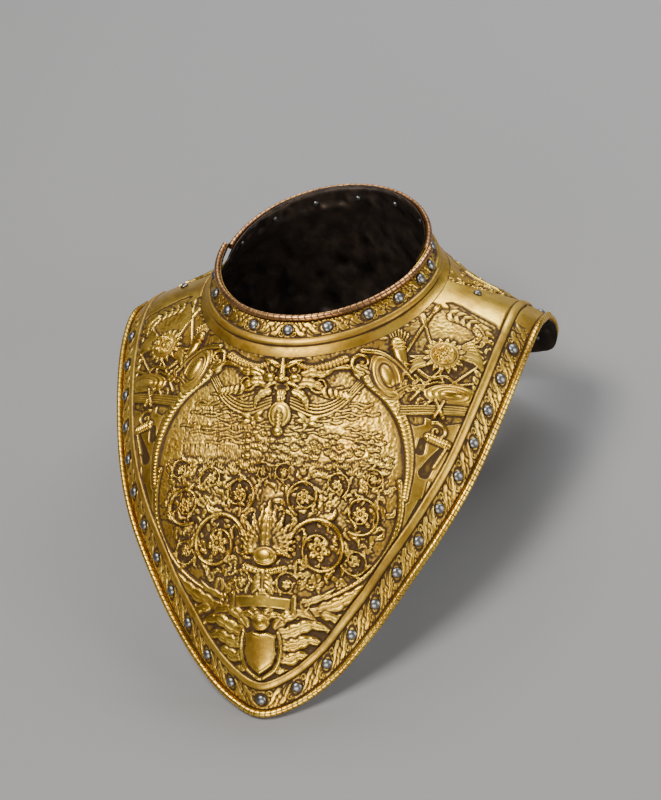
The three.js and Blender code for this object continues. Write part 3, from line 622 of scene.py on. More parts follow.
OVAL_SCROLLS = (
    # x, v, radius, start, turns
    (37, -229, 21, 165, -1.35),
    (64, -204, 14, 240, 1.3),
    (24, -196, 13, 250, -1.3),
    (46, -186, 9.5, 300, 1.2),
    (62, -234, 9.5, 200, 1.2),
    (16, -254, 8.5, 30, 1.2),
    (71, -181, 7.5, 120, -1.2),
    (7.5, -181, 7.0, 60, 1.2),
)
WAVE_COUNT, HATCH_COUNT, HATCH_TOPS = 110, 36, (-137, -150, -163, -176)
TUFT_ROWS, TUFTS_IN_ROW, TUFT_LEANS = 6, 34, (-0.85, 0.8, -0.35, 0.4, 0.0)
LOOSE_LEAVES, FAN_LEAVES, FAN_FOOT = 420, 7, (0, -234.0)
FAN_FORMS = (
    ("leaf", ((0, -234), (0, -216), (0, -199)), 9.0, 4.0, 6, 1.3),
    ("dome", ((0, -237),), (8.5, 6.5), 3.0, 0, (0.7,), 1.4),
    ("rib", ((-14, -244), (0, -247.5), (14, -244)), 5.0, 2.6, (1, 1), 1.0, 0.4, 2.8),
    ("acanthus", ((0, -248), (0, -254), (0, -263)), 15, 2.4, 3, 0.7),
)
POINT_FORMS = (
    ("strap", ((93, -236), (72, -253), (48, -265), (24, -272)), 6.5, 0.9, (0.5, 1)),
    ("leaf", ((9, -283), (17, -274), (27, -270), (36, -274), (38, -281)), 8.5, 2.2, 4, 0.4, 0.5, 0.5),
    ("leaf", ((10, -287), (21, -283), (33, -277), (44, -278), (49, -284)), 9.5, 2.5, 5, 0.4, 0.5, 0.5),
    ("leaf", ((10, -292), (22, -291), (33, -286), (41, -288), (43, -294)), 9.0, 2.6, 5, 0.4, 0.5, 0.5),
    ("leaf", ((10, -298), (19, -300), (27, -296), (33, -298), (33, -304)), 8.0, 2.4, 4, 0.4, 0.5, 0.5),
    ("leaf", ((9, -304), (14, -308), (20, -307), (24, -309)), 6.0, 2.0, 3, 0.4, 0.5, 0.5),
    ("leaf", ((38, -267), (50, -262), (62, -254), (70, -246), (72, -240)), 8.5, 1.9, 5, 0.4, 0.5, 0.5),
    ("leaf", ((48, -273), (59, -268), (68, -260), (76, -251), (80, -243)), 8.0, 1.9, 5, 0.4, 0.5, 0.5),
    ("leaf", ((40, -270), (47, -270), (54, -274), (55, -279)), 6.5, 2.0, 3, 0.4, 0.5, 0.5),
    ("leaf", ((24, -267), (32, -263), (42, -258), (50, -252)), 5.5, 1.5, 3, 0.4, 0.5, 0.5),
    ("volute", ((57, -274.5),), 5.4, -100, 1.3, 2.6, 1.8, 0.4),
    ("volute", ((30, -265.5),), 4.0, 100, 1.2, 2.0, 1.5, 0.5),
    ("rib", ((12.0, -285), (13.6, -291), (13.4, -299), (10.0, -307), (0, -314.5)), 2.6, 1.7, (1, 1), 0.8),
    ("leaf", ((2, -279), (7, -274.5), (13, -274), (16, -277)), 5.0, 2.2, 3, 1.0),
    ("leaf", ((1, -276), (4, -271.8), (9, -270.6)), 3.6, 1.9, 0, 1.0),
)
LABEL_HALF, LABEL_TOP, LABEL_FOOT = 22, -262.5, -270
SHIELD = [(-11, -286.5), (-5, -285.2), (0, -286.3), (5, -285.2), (11, -286.5), (10.2, -291), (10.8, -298),
          (8.6, -304.5), (4, -308.2), (0, -311), (-4, -308.2), (-8.6, -304.5), (-10.8, -298), (-10.2, -291)]


def on_side(side, *points):
    """Places on a side, 1 or -1."""
    return [(x * side, v) for x, v in points]


def on_mask(point):
    """Place on the mask, grown about its centre and lowered."""
    return point[0] * MASK_GROWTH, MASK_CENTRE - MASK_DROP + (point[1] - MASK_CENTRE) * MASK_GROWTH


def draw_forms(art, rows, side=1, place=tuple):
    """Draws the rows of a table on a side; place moves each point first."""
    for form, points, *sizes in rows:
        line = on_side(side, *map(place, points))
        if form == "dome" and len(sizes) > 2:
            sizes[2] *= side
        if form == "volute":
            sizes[1:3] = sizes[1] if side > 0 else 180 - sizes[1], sizes[2] * side
        if form in ROUND_FORMS:
            line = line[0]
        elif form in CURVED_FORMS:
            line = curve(line)
        getattr(art, form)(line, *sizes)


def oval_norm(x, v):
    """One on the oval's outline: an ellipse below its centre and a squarer, taller curve above it."""
    across, up = np.abs(x - OVAL_CENTRE[0]) / OVAL_HALF[0], np.asarray(v - OVAL_CENTRE[1])
    below = np.hypot(across, up / OVAL_HALF[1])
    above = (across**OVAL_TOP_POWER + (np.abs(up) / OVAL_TOP) ** OVAL_TOP_POWER) ** (1 / OVAL_TOP_POWER)
    return np.where(up < 0, below, above)


def draw_grounds(art, rng):
    """Raised plate round the sunk corner panels and the oval, and the stippling of all grounds."""
    panels, x, v = art.outline(PANEL)
    other, _, _ = art.outline([(-x_in, v_in) for x_in, v_in in PANEL])
    panels = np.minimum(panels, other)
    oval = (oval_norm(x, v) - 1) * OVAL_MEAN
    below = np.clip((v - PLATE_FOOT) / PLATE_FADE, 0, 1)
    art.height += PLATE_HEIGHT * np.clip(panels / 0.8, 0, 1) * np.clip(oval / 0.8, 0, 1) * below
    # Shade painted along the edge of the sunk panels outside the oval
    art.painted_shade = np.maximum(art.painted_shade, 0.9 * np.exp(-(((panels + 0.15) / 0.5) ** 2)) * (oval > 0))
    grain = blur(rng.normal(size=art.height.shape), 0.5, art.pitch)
    art.grain = grain / grain.std()
    art.sunk = np.clip(-panels / 1.5, 0, 1)


def draw_ring(art):
    """Ribbed ring round the oval's lower part, and a horn beside its top on each side."""
    angles = np.radians(np.linspace(*RING_ANGLES, 160))
    ring = np.array(OVAL_CENTRE) + np.stack([np.cos(angles), np.sin(angles)], -1) * OVAL_HALF
    where, share, off, length = art.near(ring, 8)
    half = RING_HALF + RING_SWELL * ((share - 0.5) * 2) ** 2
    top = 0.5 + 1.3 * np.sqrt(np.clip(1 - (off / half) ** 2, 0, 1))
    top -= 0.35 * np.clip(np.cos(2 * math.pi * (share * length - 0.7 * np.abs(off)) / RING_PITCH), 0, 1) ** 2
    art.lay(where, top, np.abs(off) - half, 0.5, 0.5)
    for side in (1, -1):
        where, share, off, length = art.near(curve(on_side(side, *HORN)), 12)
        half, pitch, height = (a + (b - a) * share for a, b in (HORN_HALF, HORN_PITCH, HORN_HEIGHT))
        bow = 2 * math.pi * (share * length + 0.09 * off**2) / pitch
        across = np.sqrt(np.clip(1 - (off / half) ** 2, 0, 1))
        top = 0.6 + height * across - 0.75 * np.clip(np.cos(bow), 0, 1) ** 2 * across
        art.lay(where, top, np.abs(off) - half, 0.55, 0.6)


def draw_centre(art):
    """Leaf mask under the collar, its scrolls, pendant and swags."""
    for side in (1, -1):
        for low, width in SWAG_RIBS:
            line = on_side(side, (54 + low * 0.3, -112 - low * 0.6), (42, -127 - low), (26, -134 - low),
                           (7, -130 - low * 0.8))
            art.rib(curve(line), width, 0.9, (0.7, 1.1), groove=0.4)
        draw_forms(art, COLLAR_SCROLLS, side)
        draw_forms(art, MASK_SIDE, side, on_mask)
        for k in range(5):
            x = 29 + 4.8 * k - 0.25 * k * k
            leaflet = (x, -121 - k * 0.4), (x + 2, -126.5), (x + 5, -128 + k * 1.4)
            art.leaf(on_side(side, *leaflet), 3.4, 1.1, 0, 0.2)
        for tip in SPRAY_TIPS:
            art.leaf(on_side(side, SPRAY_CENTRE, tip), 3.6, 1.2)
        art.dome(on_side(side, SPRAY_CENTRE)[0], (1.6, 1.6), 1.2)
    draw_forms(art, MASK_MIDDLE, place=on_mask)
    draw_forms(art, PENDANT)


def laurel(art, points, size, height, count):
    """Spray of paired leaves along a stem."""
    line = curve(points, 20)
    art.rib(line, 0.9, height * 0.8, (1, 0.6), groove=0.2)
    for k, n in enumerate(np.linspace(0, len(line) - 3, count).astype(int)):
        along = line[min(n + 2, len(line) - 1)] - line[n]
        along /= np.linalg.norm(along)
        across = np.array([-along[1], along[0]])
        shrink = size * (1 - 0.45 * k / count)
        for way in (1, -1):
            tip = line[n] + along * shrink * 0.85 + across * way * shrink * 0.6
            bow = line[n] + along * shrink * 0.3 + across * way * shrink * 0.4
            art.leaf([line[n], bow, tip], shrink * 0.42, height, groove=0.25)


def draw_panels(art):
    """Corner trophies: shields, quiver, crossed shafts, feather fans, ribbons, laurel and a tied bundle."""
    for side in (1, -1):
        for points, size, height, pairs in LAUREL_SPRAYS:
            laurel(art, on_side(side, *points), size, height, pairs)
        for x0, v0, x1, v1 in SHAFTS:
            dx, dv = x1 - x0, v1 - v0
            art.rib(on_side(side, (x0, v0), (x1, v1)), 2.2, 1.5, (0.7, 1.1), 0.4, 0.6)
            head = (x0 - dx * 0.03, v0 - dv * 0.03), (x0 + dx * 0.14, v0 + dv * 0.14)
            art.leaf(on_side(side, *head), 4.4, 1.8)
        for k in range(ARROWS):
            top = (64.5 + 2.3 * k, -70 - 0.8 * abs(k - 3))
            art.rib(on_side(side, top, (72.0 + 0.8 * k, -84)), 1.2, 1.1)
            art.leaf(on_side(side, top, (66.2 + 2.0 * k, -74.5 - 0.8 * abs(k - 3))), 1.9, 1.4)
        art.rib(on_side(side, QUIVER_TOP, QUIVER_FOOT), 9.0, 3.0, (1, 0.85), 0.5, 0.7)
        for share in QUIVER_BANDS:
            x, v = np.array(QUIVER_TOP) + share * (np.array(QUIVER_FOOT) - QUIVER_TOP)
            art.rib(on_side(side, (x - 4.0, v - 1.4), (x + 4.0, v + 1.4)), 1.5, 0.9, lift=2.9)
        for k in range(7):
            feather = (110, -84), (119 + 0.8 * k, -72 - 2.25 * k), (126 + 1.2 * k, -68 - 4.5 * k)
            art.leaf(on_side(side, *feather), 4.6, 1.9, 0, 0.5)
        for k in range(5):
            feather = (96, -88 - k), (88 - 0.5 * k, -90 - 2.5 * k), (81 + 0.6 * k, -90 - 4.6 * k)
            art.leaf(on_side(side, *feather), 4.0, 1.7, 0, 0.5)
        centre = on_side(side, WHEEL_CENTRE)[0]
        for k in range(WHEEL_LEAVES):
            a = 2 * math.pi * k / WHEEL_LEAVES
            out = np.array([math.cos(a), math.sin(a)])
            art.leaf([np.array(centre) + out * 6, np.array(centre) + out * 14.5], 5.0, 2.0, 0, 0.8, tip=0.45)
        art.dome(centre, (WHEEL_HALF, WHEEL_HALF), 2.2, lift=2.0, rings=(0.84,), power=0.8)
        art.rosette(centre, 6.4, 1.3, 6, 15)
        art.lift_near(centre, 6.6, WHEEL_LIFT)
        draw_forms(art, PANEL_FORMS, side)


def scroll(art, centre, radius, start, turns, height, leaves=6):
    """Leafy scroll: a spiral stem, lobed leaves that leave it on both sides and a rosette in its eye."""
    line = spiral(centre, radius, start, turns, 0.34, 60)
    for k, n in enumerate(np.linspace(1, 44, leaves).astype(int)):
        along = line[n + 2] - line[n]
        along /= np.linalg.norm(along)
        out = line[n] - np.array(centre)
        out /= np.linalg.norm(out)
        size = radius * (0.66 - 0.05 * k)
        bend = line[n] + along * size * 0.75 + out * size * 0.5
        tip = line[n] + along * size * 0.8 + out * size * 0.82
        art.leaf([line[n] - along * size * 0.2, line[n] + along * size * 0.4 + out * size * 0.22, bend, tip],
                 size * 0.5, height * 0.85, 4, 0.5)
        art.leaf([line[n], line[n] + along * size * 0.4 - out * size * 0.14,
                  line[n] + along * size * 0.5 - out * size * 0.42], size * 0.34, height * 0.7, 3, 0.5)
    art.rib(line, radius * 0.15, height, (1, 0.55), 0.7, 0.8)
    for k in range(2):
        art.rosette(centre, radius * (0.42 - 0.16 * k), height * (0.8 + 0.25 * k), 6, start + 30 * k)


def draw_oval(art, rng):
    """Inside of the oval: waved lines and hatching above, rows of tufts between, bold leafy scrolls below."""
    def inside(x, v, margin):
        return oval_norm(x, v) < 1 - margin / OVAL_MEAN

    for _ in range(WAVE_COUNT):
        v = -118 - 44 * rng.random()
        x = (rng.random() * 2 - 1) * 78
        length = 8 + 16 * rng.random()
        if inside(x, v, 7) and inside(x + length, v, 7):
            art.rib(curve([(x, v), (x + length * 0.35, v + 0.9 * rng.normal()), (x + length * 0.7, v - 0.7),
                           (x + length, v + 0.9)]), 1.7, 0.6, (0.5, 0.9), groove=0.4)
    for k in range(HATCH_COUNT):
        x = -72 + 1.3 * k
        for v in HATCH_TOPS:
            if inside(x, v, 7):
                art.line([(x, v - 11), (x + 0.7, v - 5), (x + 0.3 * rng.normal(), v)], 0.3, 0.7, 0.6)
    for row in range(TUFT_ROWS):
        v = -156 - 5.2 * row
        for k in range(TUFTS_IN_ROW):
            x = (k - 16.5) * 4.9 + rng.normal() * 1.3
            base = np.array([x, v + rng.normal() * 1.3])
            if not inside(*base, 8) or rng.random() < 0.22 or (x < -26 and row < 4):
                continue
            size = 2.9 + 0.5 * row + rng.random()
            for way in TUFT_LEANS:
                tip = base + size * np.array([math.sin(way), math.cos(way)])
                art.leaf([base, (base + tip) / 2 + [0.2 * way, 0], tip], 1.9, 0.7 + 0.1 * row, groove=0.35)
    for _ in range(LOOSE_LEAVES):
        x, v = (rng.random() * 2 - 1) * 84, -180 - 78 * rng.random()
        if not inside(x, v, 7):
            continue
        a = 1.5 * math.sin(x / 11) + 1.2 * math.cos(v / 9) + rng.normal() * 0.5
        step = np.array([math.cos(a), math.sin(a)]) * (6 + 5 * rng.random())
        bow = np.array([-step[1], step[0]]) * 0.3 * (1 if rng.random() > 0.5 else -1)
        line = [(x, v), (x, v) + step * 0.5 + bow, (x, v) + step]
        art.leaf(line, 3.6, 0.8 + 0.8 * rng.random(), 3, 0.1, 0.45)
    for side in (1, -1):
        for x, v, radius, start, turns in OVAL_SCROLLS:
            first = start if side > 0 else 180 - start
            scroll(art, (x * side, v), radius, first, turns * side, 2.0 + radius * 0.07)
        for k in range(FAN_LEAVES):
            a = math.radians(90 - side * (8 + 15 * k))
            out = np.array([math.cos(a), math.sin(a)])
            base = np.array(FAN_FOOT)
            bow = base + out * (15 - k) + np.array([side * 1.6, 0.4 * k])
            art.leaf([base, bow, base + out * (30 - 1.8 * k)], 7.4, 3.4, 5, 0.9, 0.5)
    draw_forms(art, FAN_FORMS)


def draw_point(art):
    """Point of the plate: blank scrolled label, crest, bare shield, broad curling leaves and straps."""
    for side in (1, -1):
        draw_forms(art, POINT_FORMS, side)
    corners = [(-LABEL_HALF, LABEL_TOP), (LABEL_HALF, LABEL_TOP),
               (LABEL_HALF, LABEL_FOOT), (-LABEL_HALF, LABEL_FOOT)]
    whole = (slice(None), slice(None))
    off, x, _ = art.outline(corners)
    art.lay(whole, 1.3 + 0.25 * np.cos(x / 7.0) + np.zeros_like(off), off, 0.45, 0.5)
    for x in (-LABEL_HALF, LABEL_HALF):
        art.rib([(x, LABEL_TOP + 1.2), (x, LABEL_FOOT - 1.3)], 3.6, 1.8, lift=0.9)
    art.dome((0, -279.5), (6.2, 5.4), 2.9, lift=0.9, rings=(0.62,))
    off, x, _ = art.outline(SHIELD)
    swell = 1.0 * np.clip(1 - (x / 11.5) ** 2, 0, 1) - 0.4 * np.exp(-(((off + 2.0) / 0.5) ** 2))
    art.lay(whole, 1.9 + swell, off, 0.6, 0.7)


def front_art():
    """The front field's finished relief."""
    rng = np.random.default_rng(11)
    art = Relief(CHART_LOW, CHART_HIGH, CHART_PITCH)
    draw_grounds(art, rng)
    draw_oval(art, rng)
    draw_ring(art)
    for side in (1, -1):
        draw_forms(art, SIDE_STRAPWORK, side)
    draw_point(art)
    draw_panels(art)
    draw_centre(art)
    x, v = np.meshgrid(np.arange(art.height.shape[1]), np.arange(art.height.shape[0]))
    x, v = art.low[0] + x * art.pitch, art.low[1] + v * art.pitch
    inner = oval_norm(x, v) < 0.97
    low = np.clip(1 - art.height / 0.6, 0, 1)
    art.height += GRAIN_HEIGHT * art.grain * low * np.maximum(inner, art.sunk)
    art.height = blur(art.height, 0.24, art.pitch)
    return art.finish()


BAND_PITCH, RIVET_PAD, RIVET_RING = 0.2, 5.4, 4.1
TENDRIL = ((-1.0, -4.6), (4.0, -2.4), (6.2, 1.8), (10.0, 4.6))


def leaf_band_art():
    """One bay of the leaf band, from one rivet to the next: flame leaves and tendrils."""
    art = Relief((-BAY, 0.0), (2 * BAY, MOULDING_END), BAND_PITCH)
    middle = BAND_MIDDLE
    for shift in (-BAY, 0.0, BAY):
        centre = shift + BAY / 2
        for k in range(7):
            x = centre - 9.0 + 3.0 * k
            lean = 2.2 * math.sin(1.9 * k)
            flame = [(x - 2.0, middle - 6.0), (x + 1.2, middle - 2.6), (x - 0.4 + lean * 0.3, middle + 1.4),
                     (x + 2.8 + lean, middle + 5.8)]
            art.leaf(flame, 2.9, 0.42, 0, 0.05, 0.4, 0.7)
        for side in (1, -1):
            tendril = [(centre + side * x, middle + side * v) for x, v in TENDRIL]
            art.leaf(tendril, 4.4, 0.7, 3, 0.15, 0.4)
            eye = (centre + side * 7.6, middle - side * 3.4)
            art.rib(spiral(eye, 2.5, 90 - 90 * side, 1.1 * side, 0.2, 24), 1.1, 0.5, groove=0.4)
    _, x, v = art.window(art.low, art.low + 1e4)
    art.height[(v < RIM_WIDTH + 0.8) | (v > BAND_END - 0.7)] = 0
    for shift in (-BAY, 0.0, BAY, 2 * BAY):
        r = np.hypot(x - shift, v - middle)
        art.height[r < RIVET_PAD] = 0
        # Shade painted in a ring round each rivet, beside the sunk groove
        art.painted_shade = np.maximum(art.painted_shade, np.exp(-(((r - RIVET_RING) / 0.75) ** 2)))
        art.height -= 0.35 * np.exp(-(((r - RIVET_RING - 0.2) / 0.6) ** 2))
    art.height = blur(art.height, 0.2, art.pitch)
    art.finish()
    keep = slice(int(round(BAY / art.pitch)), int(round(2 * BAY / art.pitch)) + 2)
    for name in ("height", "recess", "rub"):
        setattr(art, name, getattr(art, name)[:, keep])
    art.low, art.wrap = np.array([0.0, 0.0]), BAY
    return art


def moulding_profile(off):
    """Plain moulding beside the leaf band: a half round, and the painted shade lines beside it, in fine
    grooves with a wider painted shade round them.
    """
    across = np.clip(np.abs((off - (BAND_END + MOULDING_END) / 2) / ((MOULDING_END - BAND_END) / 2)), 0, 1)
    height = MOULDING_HEIGHT * np.sqrt(1 - across**2.6)
    crease = np.exp(-(((off - BAND_END) / 0.55) ** 2)) + np.exp(-(((off - MOULDING_END) / 0.6) ** 2))
    # crease: fine groove and painted shade line; halo: wider painted shade either side
    halo = np.exp(-(((off - BAND_END) / 2.4) ** 2)) + np.exp(-(((off - MOULDING_END) / 2.4) ** 2))
    return height - 0.35 * crease, np.clip(crease + 0.3 * halo, 0, 1)


# Meshes


def resting_frame():
    """Turn and shift from the upright frame (mm) to the resting frame (m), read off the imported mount."""
    mount = frame["record"]["mounts"][0]
    tilt = math.atan2(NECK_RISE, NECK_HALF_DEPTH)
    lean = -(tilt + math.atan2(mount["axis"][1], mount["axis"][2]))
    return np.array(Matrix.Rotation(lean, 3, "X")), np.array(mount["pos_m"])


TURN, SHIFT = resting_frame()


def to_world(points):
    """Places in metres in the resting frame."""
    return (points * METRES) @ TURN.T + SHIFT


def fill_mesh(name, points, normals, loops, starts, layers):
    """Mesh object from flat arrays: points (mm), normals, corner indices, face starts and point values."""
    mesh = bpy.data.meshes.new(name)
    mesh.vertices.add(len(points))
    mesh.vertices.foreach_set("co", to_world(points).astype(np.float32).ravel())
    mesh.loops.add(len(loops))
    mesh.loops.foreach_set("vertex_index", loops.astype(np.int32))
    mesh.polygons.add(len(starts))
    mesh.polygons.foreach_set("loop_start", starts.astype(np.int32))
    mesh.update(calc_edges=True)
    mesh.validate()
    mesh.polygons.foreach_set("use_smooth", np.ones(len(mesh.polygons), bool))
    for key, values in layers.items():
        layer = mesh.attributes.new(key, "FLOAT", "POINT")
        layer.data.foreach_set("value", values.astype(np.float32).ravel())
    if normals is not None:
        mesh.normals_split_custom_set_from_vertices((normals @ TURN.T).astype(np.float32))
    obj = bpy.data.objects.new(name, mesh)
    bpy.context.scene.collection.objects.link(obj)
    return obj


def quad_ring(ids):
    """Corner indices of the faces between the rows and columns of a grid of ids."""
    return np.stack([ids[:-1, :-1], ids[1:, :-1], ids[1:, 1:], ids[:-1, 1:]], -1).reshape(-1, 4)


def coarse(count, step):
    """Every step-th index, with the last."""
    return np.unique(np.append(np.arange(0, count, step), count - 1))


def shell(name, outer, normals, inner, layers, material, inside, step=8):
    """Closed sheet: a fine outer grid, a coarse inner grid, and walls whose faces join the two."""
    rows, cols = outer.shape[:2]
    pick_r, pick_c = coarse(rows, step), coarse(cols, step)
    count = rows * cols
    ids = np.arange(count).reshape(rows, cols)
    low = inner[np.ix_(pick_r, pick_c)]
    low_ids = count + np.arange(low.shape[0] * low.shape[1]).reshape(low.shape[:2])
    faces = [quad_ring(ids), quad_ring(low_ids)[:, ::-1]]
    walls = []

    def wall(edge_ids, edge_low, pick, flip):
        for k in range(len(pick) - 1):
            run = edge_ids[pick[k]:pick[k + 1] + 1]
            face = np.concatenate([run, [edge_low[k + 1], edge_low[k]]])
            walls.append(face[::-1] if flip else face)

    wall(ids[0], low_ids[0], pick_c, False)
    wall(ids[-1], low_ids[-1], pick_c, True)
    wall(ids[:, 0], low_ids[:, 0], pick_r, True)
    wall(ids[:, -1], low_ids[:, -1], pick_r, False)
    loops = np.concatenate([f.ravel() for f in faces] + walls)
    sizes = np.concatenate([np.full(sum(map(len, faces)), 4), [len(w) for w in walls]])
    starts = np.concatenate([[0], np.cumsum(sizes)[:-1]])
    points = np.concatenate([outer.reshape(-1, 3), low.reshape(-1, 3)])
    low_normals = -normals[np.ix_(pick_r, pick_c)].reshape(-1, 3)
    turned = np.concatenate([normals.reshape(-1, 3), low_normals])
    values = {k: np.concatenate([v.ravel(), np.zeros(len(low_normals))]) for k, v in layers.items()}
    obj = fill_mesh(name, points, turned, loops, starts, values)
    obj.data.materials.append(material)
    obj.data.materials.append(inside)
    slots = np.zeros(len(sizes), np.int32)
    slots[len(faces[0]):] = 1
    obj.data.polygons.foreach_set("material_index", slots)
    return obj


def padded_turns(first, last, count, low=-1.0, high=1.0):
    """Even turns with one more at each end that lies inside the plate, and the slice that drops them."""
    turns = np.linspace(first, last, count)
    step = turns[1] - turns[0]
    before, after = first > low + 1e-9, last < high - 1e-9
    whole = np.concatenate([[first - step] if before else [], turns, [last + step] if after else []])
    return whole, slice(1 if before else 0, len(whole) - 1 if after else len(whole))


def plate_piece(name, turns, keep, distances, raise_of, lift, inner_lift, material, inside, step=8):
    """Piece of a plate: the shared surface moved out along its normals by the lift and the relief."""
    base = surface(turns, distances)
    normals = grid_normals(base)
    height, layers = raise_of(base, turns, distances)
    outer = base + normals * (lift(distances) + height)[..., None]
    inner = base + normals * np.broadcast_to(inner_lift(distances), distances.shape)[..., None]
    turned = grid_normals(outer)
    cut = (slice(1, -1), keep)
    layers = {k: v[cut] for k, v in layers.items()}
    return shell(name, outer[cut], turned[cut], inner[cut], layers, material, inside, step)


# Plates


def rows_between(first, last, count):
    """Distances (rows, columns) between two lines, with one row more beyond each."""
    share = np.arange(-1, count + 1) / (count - 1)
    return first + (last - first) * share[:, None]


def front_lift(distances):
    """Height of the front plate's bare outer face over the shared surface."""
    return np.full(distances.shape, SHEET)


def back_lift(distances):
    """Height of the back plate's bare outer face: one gap under the front, lower still on the collar."""
    band_foot = BAND_END * COLLAR_SQUEEZE
    reach = np.clip((FIELD_START - distances) / (FIELD_START - band_foot), 0, 1)
    return -PIECE_GAP - RIM_HEIGHT * reach


def bay_place(turns, rivet_turns):
    """Place along the leaf band: a whole number of bays at each rivet; and the band's fade past the last."""
    count = np.arange(len(rivet_turns)) * BAY
    size = np.abs(turns)
    order = np.argsort(rivet_turns)
    place = np.interp(size, np.asarray(rivet_turns)[order], count[order])
    rate = abs(count[-1] - count[-2]) / abs(rivet_turns[-1] - rivet_turns[-2])
    last = rivet_turns[-1]
    past = np.clip((size - last) if last > rivet_turns[0] else (last - size), 0, None) * rate
    return place + past, np.clip((0.95 * BAY - past) / 5.0, 0, 1)


def banded(band, scale_of, rivet_turns):
    """Raise of a leaf band and its moulding; scale_of gives the distance from the plate's own edge."""
    def raise_of(base, turns, distances):
        off = scale_of(turns, distances)
        along, fade = bay_place(turns, rivet_turns)
        along = np.broadcast_to(along, off.shape)
        inside = np.clip((BAND_END - off) / 0.6, 0, 1) * fade
        layers = (band.height, band.recess, band.rub)
        height, recess, rub = (band.sample(layer, along, off) * inside for layer in layers)
        round_up, crease = moulding_profile(off)
        # Painted shade along the inner side of the roped rim
        rim_crease = np.exp(-(((off - RIM_WIDTH - 0.1) / 0.6) ** 2))
        return height + round_up, {"recess": np.clip(recess + 0.8 * crease + rim_crease, 0, 1), "rub": rub}
    return raise_of


def front_inner(distances):
    """Height of the front plate's inner face."""
    return np.zeros(distances.shape)


def back_inner(distances):
    """Height of the back plate's inner face."""
    return back_lift(distances) - SHEET


FRONT_COLLAR_GRID, FRONT_BORDER_GRID = (560, 60), (1220, 49)
FRONT_SECTORS = (
    # name, first turn, last turn, columns times pitch, rows times pitch
    ("middle", 0.0, 0.24, 56, 215),
    ("inner", 0.24, 0.48, 64, 195),
    ("outer", 0.48, 0.72, 64, 155),
    ("shoulder", 0.72, 1.0, 64, 96),
)


def build_front(art, gilt, rim_gilt, inside, pitch):
    """Front plate: collar band, border band and the field in sectors."""
    band = leaf_band_art()

    def piece(name, turns, keep, distances, raise_of, material):
        return plate_piece(name, turns, keep, distances, raise_of, front_lift, front_inner, material, inside)

    turns, keep = padded_turns(-1, 1, FRONT_COLLAR_GRID[0])
    d = rows_between(np.zeros_like(turns), np.full_like(turns, FIELD_START), FRONT_COLLAR_GRID[1])
    collar = banded(band, from_rim, FRONT_NECK_TURNS)
    pieces = [piece("front_collar", turns, keep, np.clip(d, 0, None), collar, rim_gilt)]

    turns, keep = padded_turns(-1, 1, FRONT_BORDER_GRID[0])
    run, _ = to_edge(turns)
    d = rows_between(in_from_edge(turns, MOULDING_END), run, FRONT_BORDER_GRID[1])
    border = banded(band, from_edge, FRONT_BORDER_TURNS)
    pieces.append(piece("front_border", turns, keep, np.minimum(d, run), border, gilt))

    def field(base, turns, distances):
        x, v = chart_of(base)
        height, recess, rub = (art.sample(layer, x, v) for layer in (art.height, art.recess, art.rub))
        above = distances - FIELD_START
        below = from_edge(turns, distances) - MOULDING_END
        calm = np.clip(np.minimum(above / 1.2, below / 1.2), 0, 1)
        seam = (1 - np.abs(turns)) * (FRONT_CURVE[3] * 0.75)
        height = height * calm - 0.5 * np.exp(-((seam / 0.9) ** 2))
        # Painted shade along the field's upper and lower edges
        crease = np.exp(-((above / 0.8) ** 2)) + np.exp(-((below / 0.8) ** 2))
        return height, {"recess": np.clip(recess + 0.7 * crease, 0, 1), "rub": rub * calm}

    for name, first, last, cols, rows in FRONT_SECTORS:
        for side, ends in (("left", (first, last)), ("right", (-last, -first))):
            turns, keep = padded_turns(*ends, int(cols / pitch))
            start = np.full_like(turns, FIELD_START)
            d = rows_between(start, in_from_edge(turns, MOULDING_END), int(rows / pitch))
            pieces.append(piece(f"front_field_{name}_{side}", turns, keep, d, field, gilt))
    return pieces


BACK_COLLAR_GRID, BACK_BORDER_GRID, BACK_FIELD_GRID = (190, 50), (350, 38), (200, 88)
BACK_LENGTH, BACK_CHART_DEPTH, BACK_PITCH, BACK_BAYS, BACK_LEAVES = 200.0, 60.0, 0.45, 5, 230
UNDER_COLUMNS, UNDER_END = 8, 0.998


def back_art():
    """The back field's relief on a chart of place along the seam-to-middle run and depth from the collar."""
    rng = np.random.default_rng(5)
    length, depth = BACK_LENGTH, BACK_CHART_DEPTH
    art = Relief((0, 0), (length, depth), BACK_PITCH)
    bay, middle = length / BACK_BAYS, depth / 2
    for _ in range(BACK_LEAVES):
        place = rng.random(2) * [length, depth * 0.84] + [0, depth * 0.08]
        a = rng.random() * 2 * math.pi
        tip = place + np.array([math.cos(a), math.sin(a)]) * 7
        art.leaf([place, (place + tip) / 2 + rng.normal(size=2) * 0.9, tip], 3.2, 0.9, 2, 0.1)
    stem = np.linspace(0, length, 90)
    wave = middle + 0.3 * depth * np.cos(math.pi * stem / bay)
    art.rib(np.stack([stem, wave], -1), 3.4, 2.2, lift=0.5, painted_shade_strength=0.7)
    for k in range(BACK_BAYS + 1):
        way = -1 if k % 2 else 1
        scroll(art, (bay * k, middle - way * depth * 0.1), min(bay, depth) * 0.36, 90 * way, -1.35 * way, 2.4)
    art.height = blur(art.height, 0.24, art.pitch)
    return art.finish()


def trimmed(turns, distances):
    """Distances with the rim of the part under the front plate drawn in to its inner line."""
    run, slant = to_edge(turns)
    rim, far = RIM_WIDTH / slant, run - distances
    return np.where((np.abs(turns) <= 1) & (far < rim), run - 0.9 * rim - 0.1 * far, distances)


def eased(raise_of):
    """The same raise, fading to nothing at the seam and under the front plate."""
    def calmer(base, turns, distances):
        height, layers = raise_of(base, turns, distances)
        away = (np.abs(turns) - 1) * BACK_CURVE[3]
        fade = np.clip(away / 3.0 - 0.3, 0, 1)
        return height * fade, {key: values * fade for key, values in layers.items()}
    return calmer


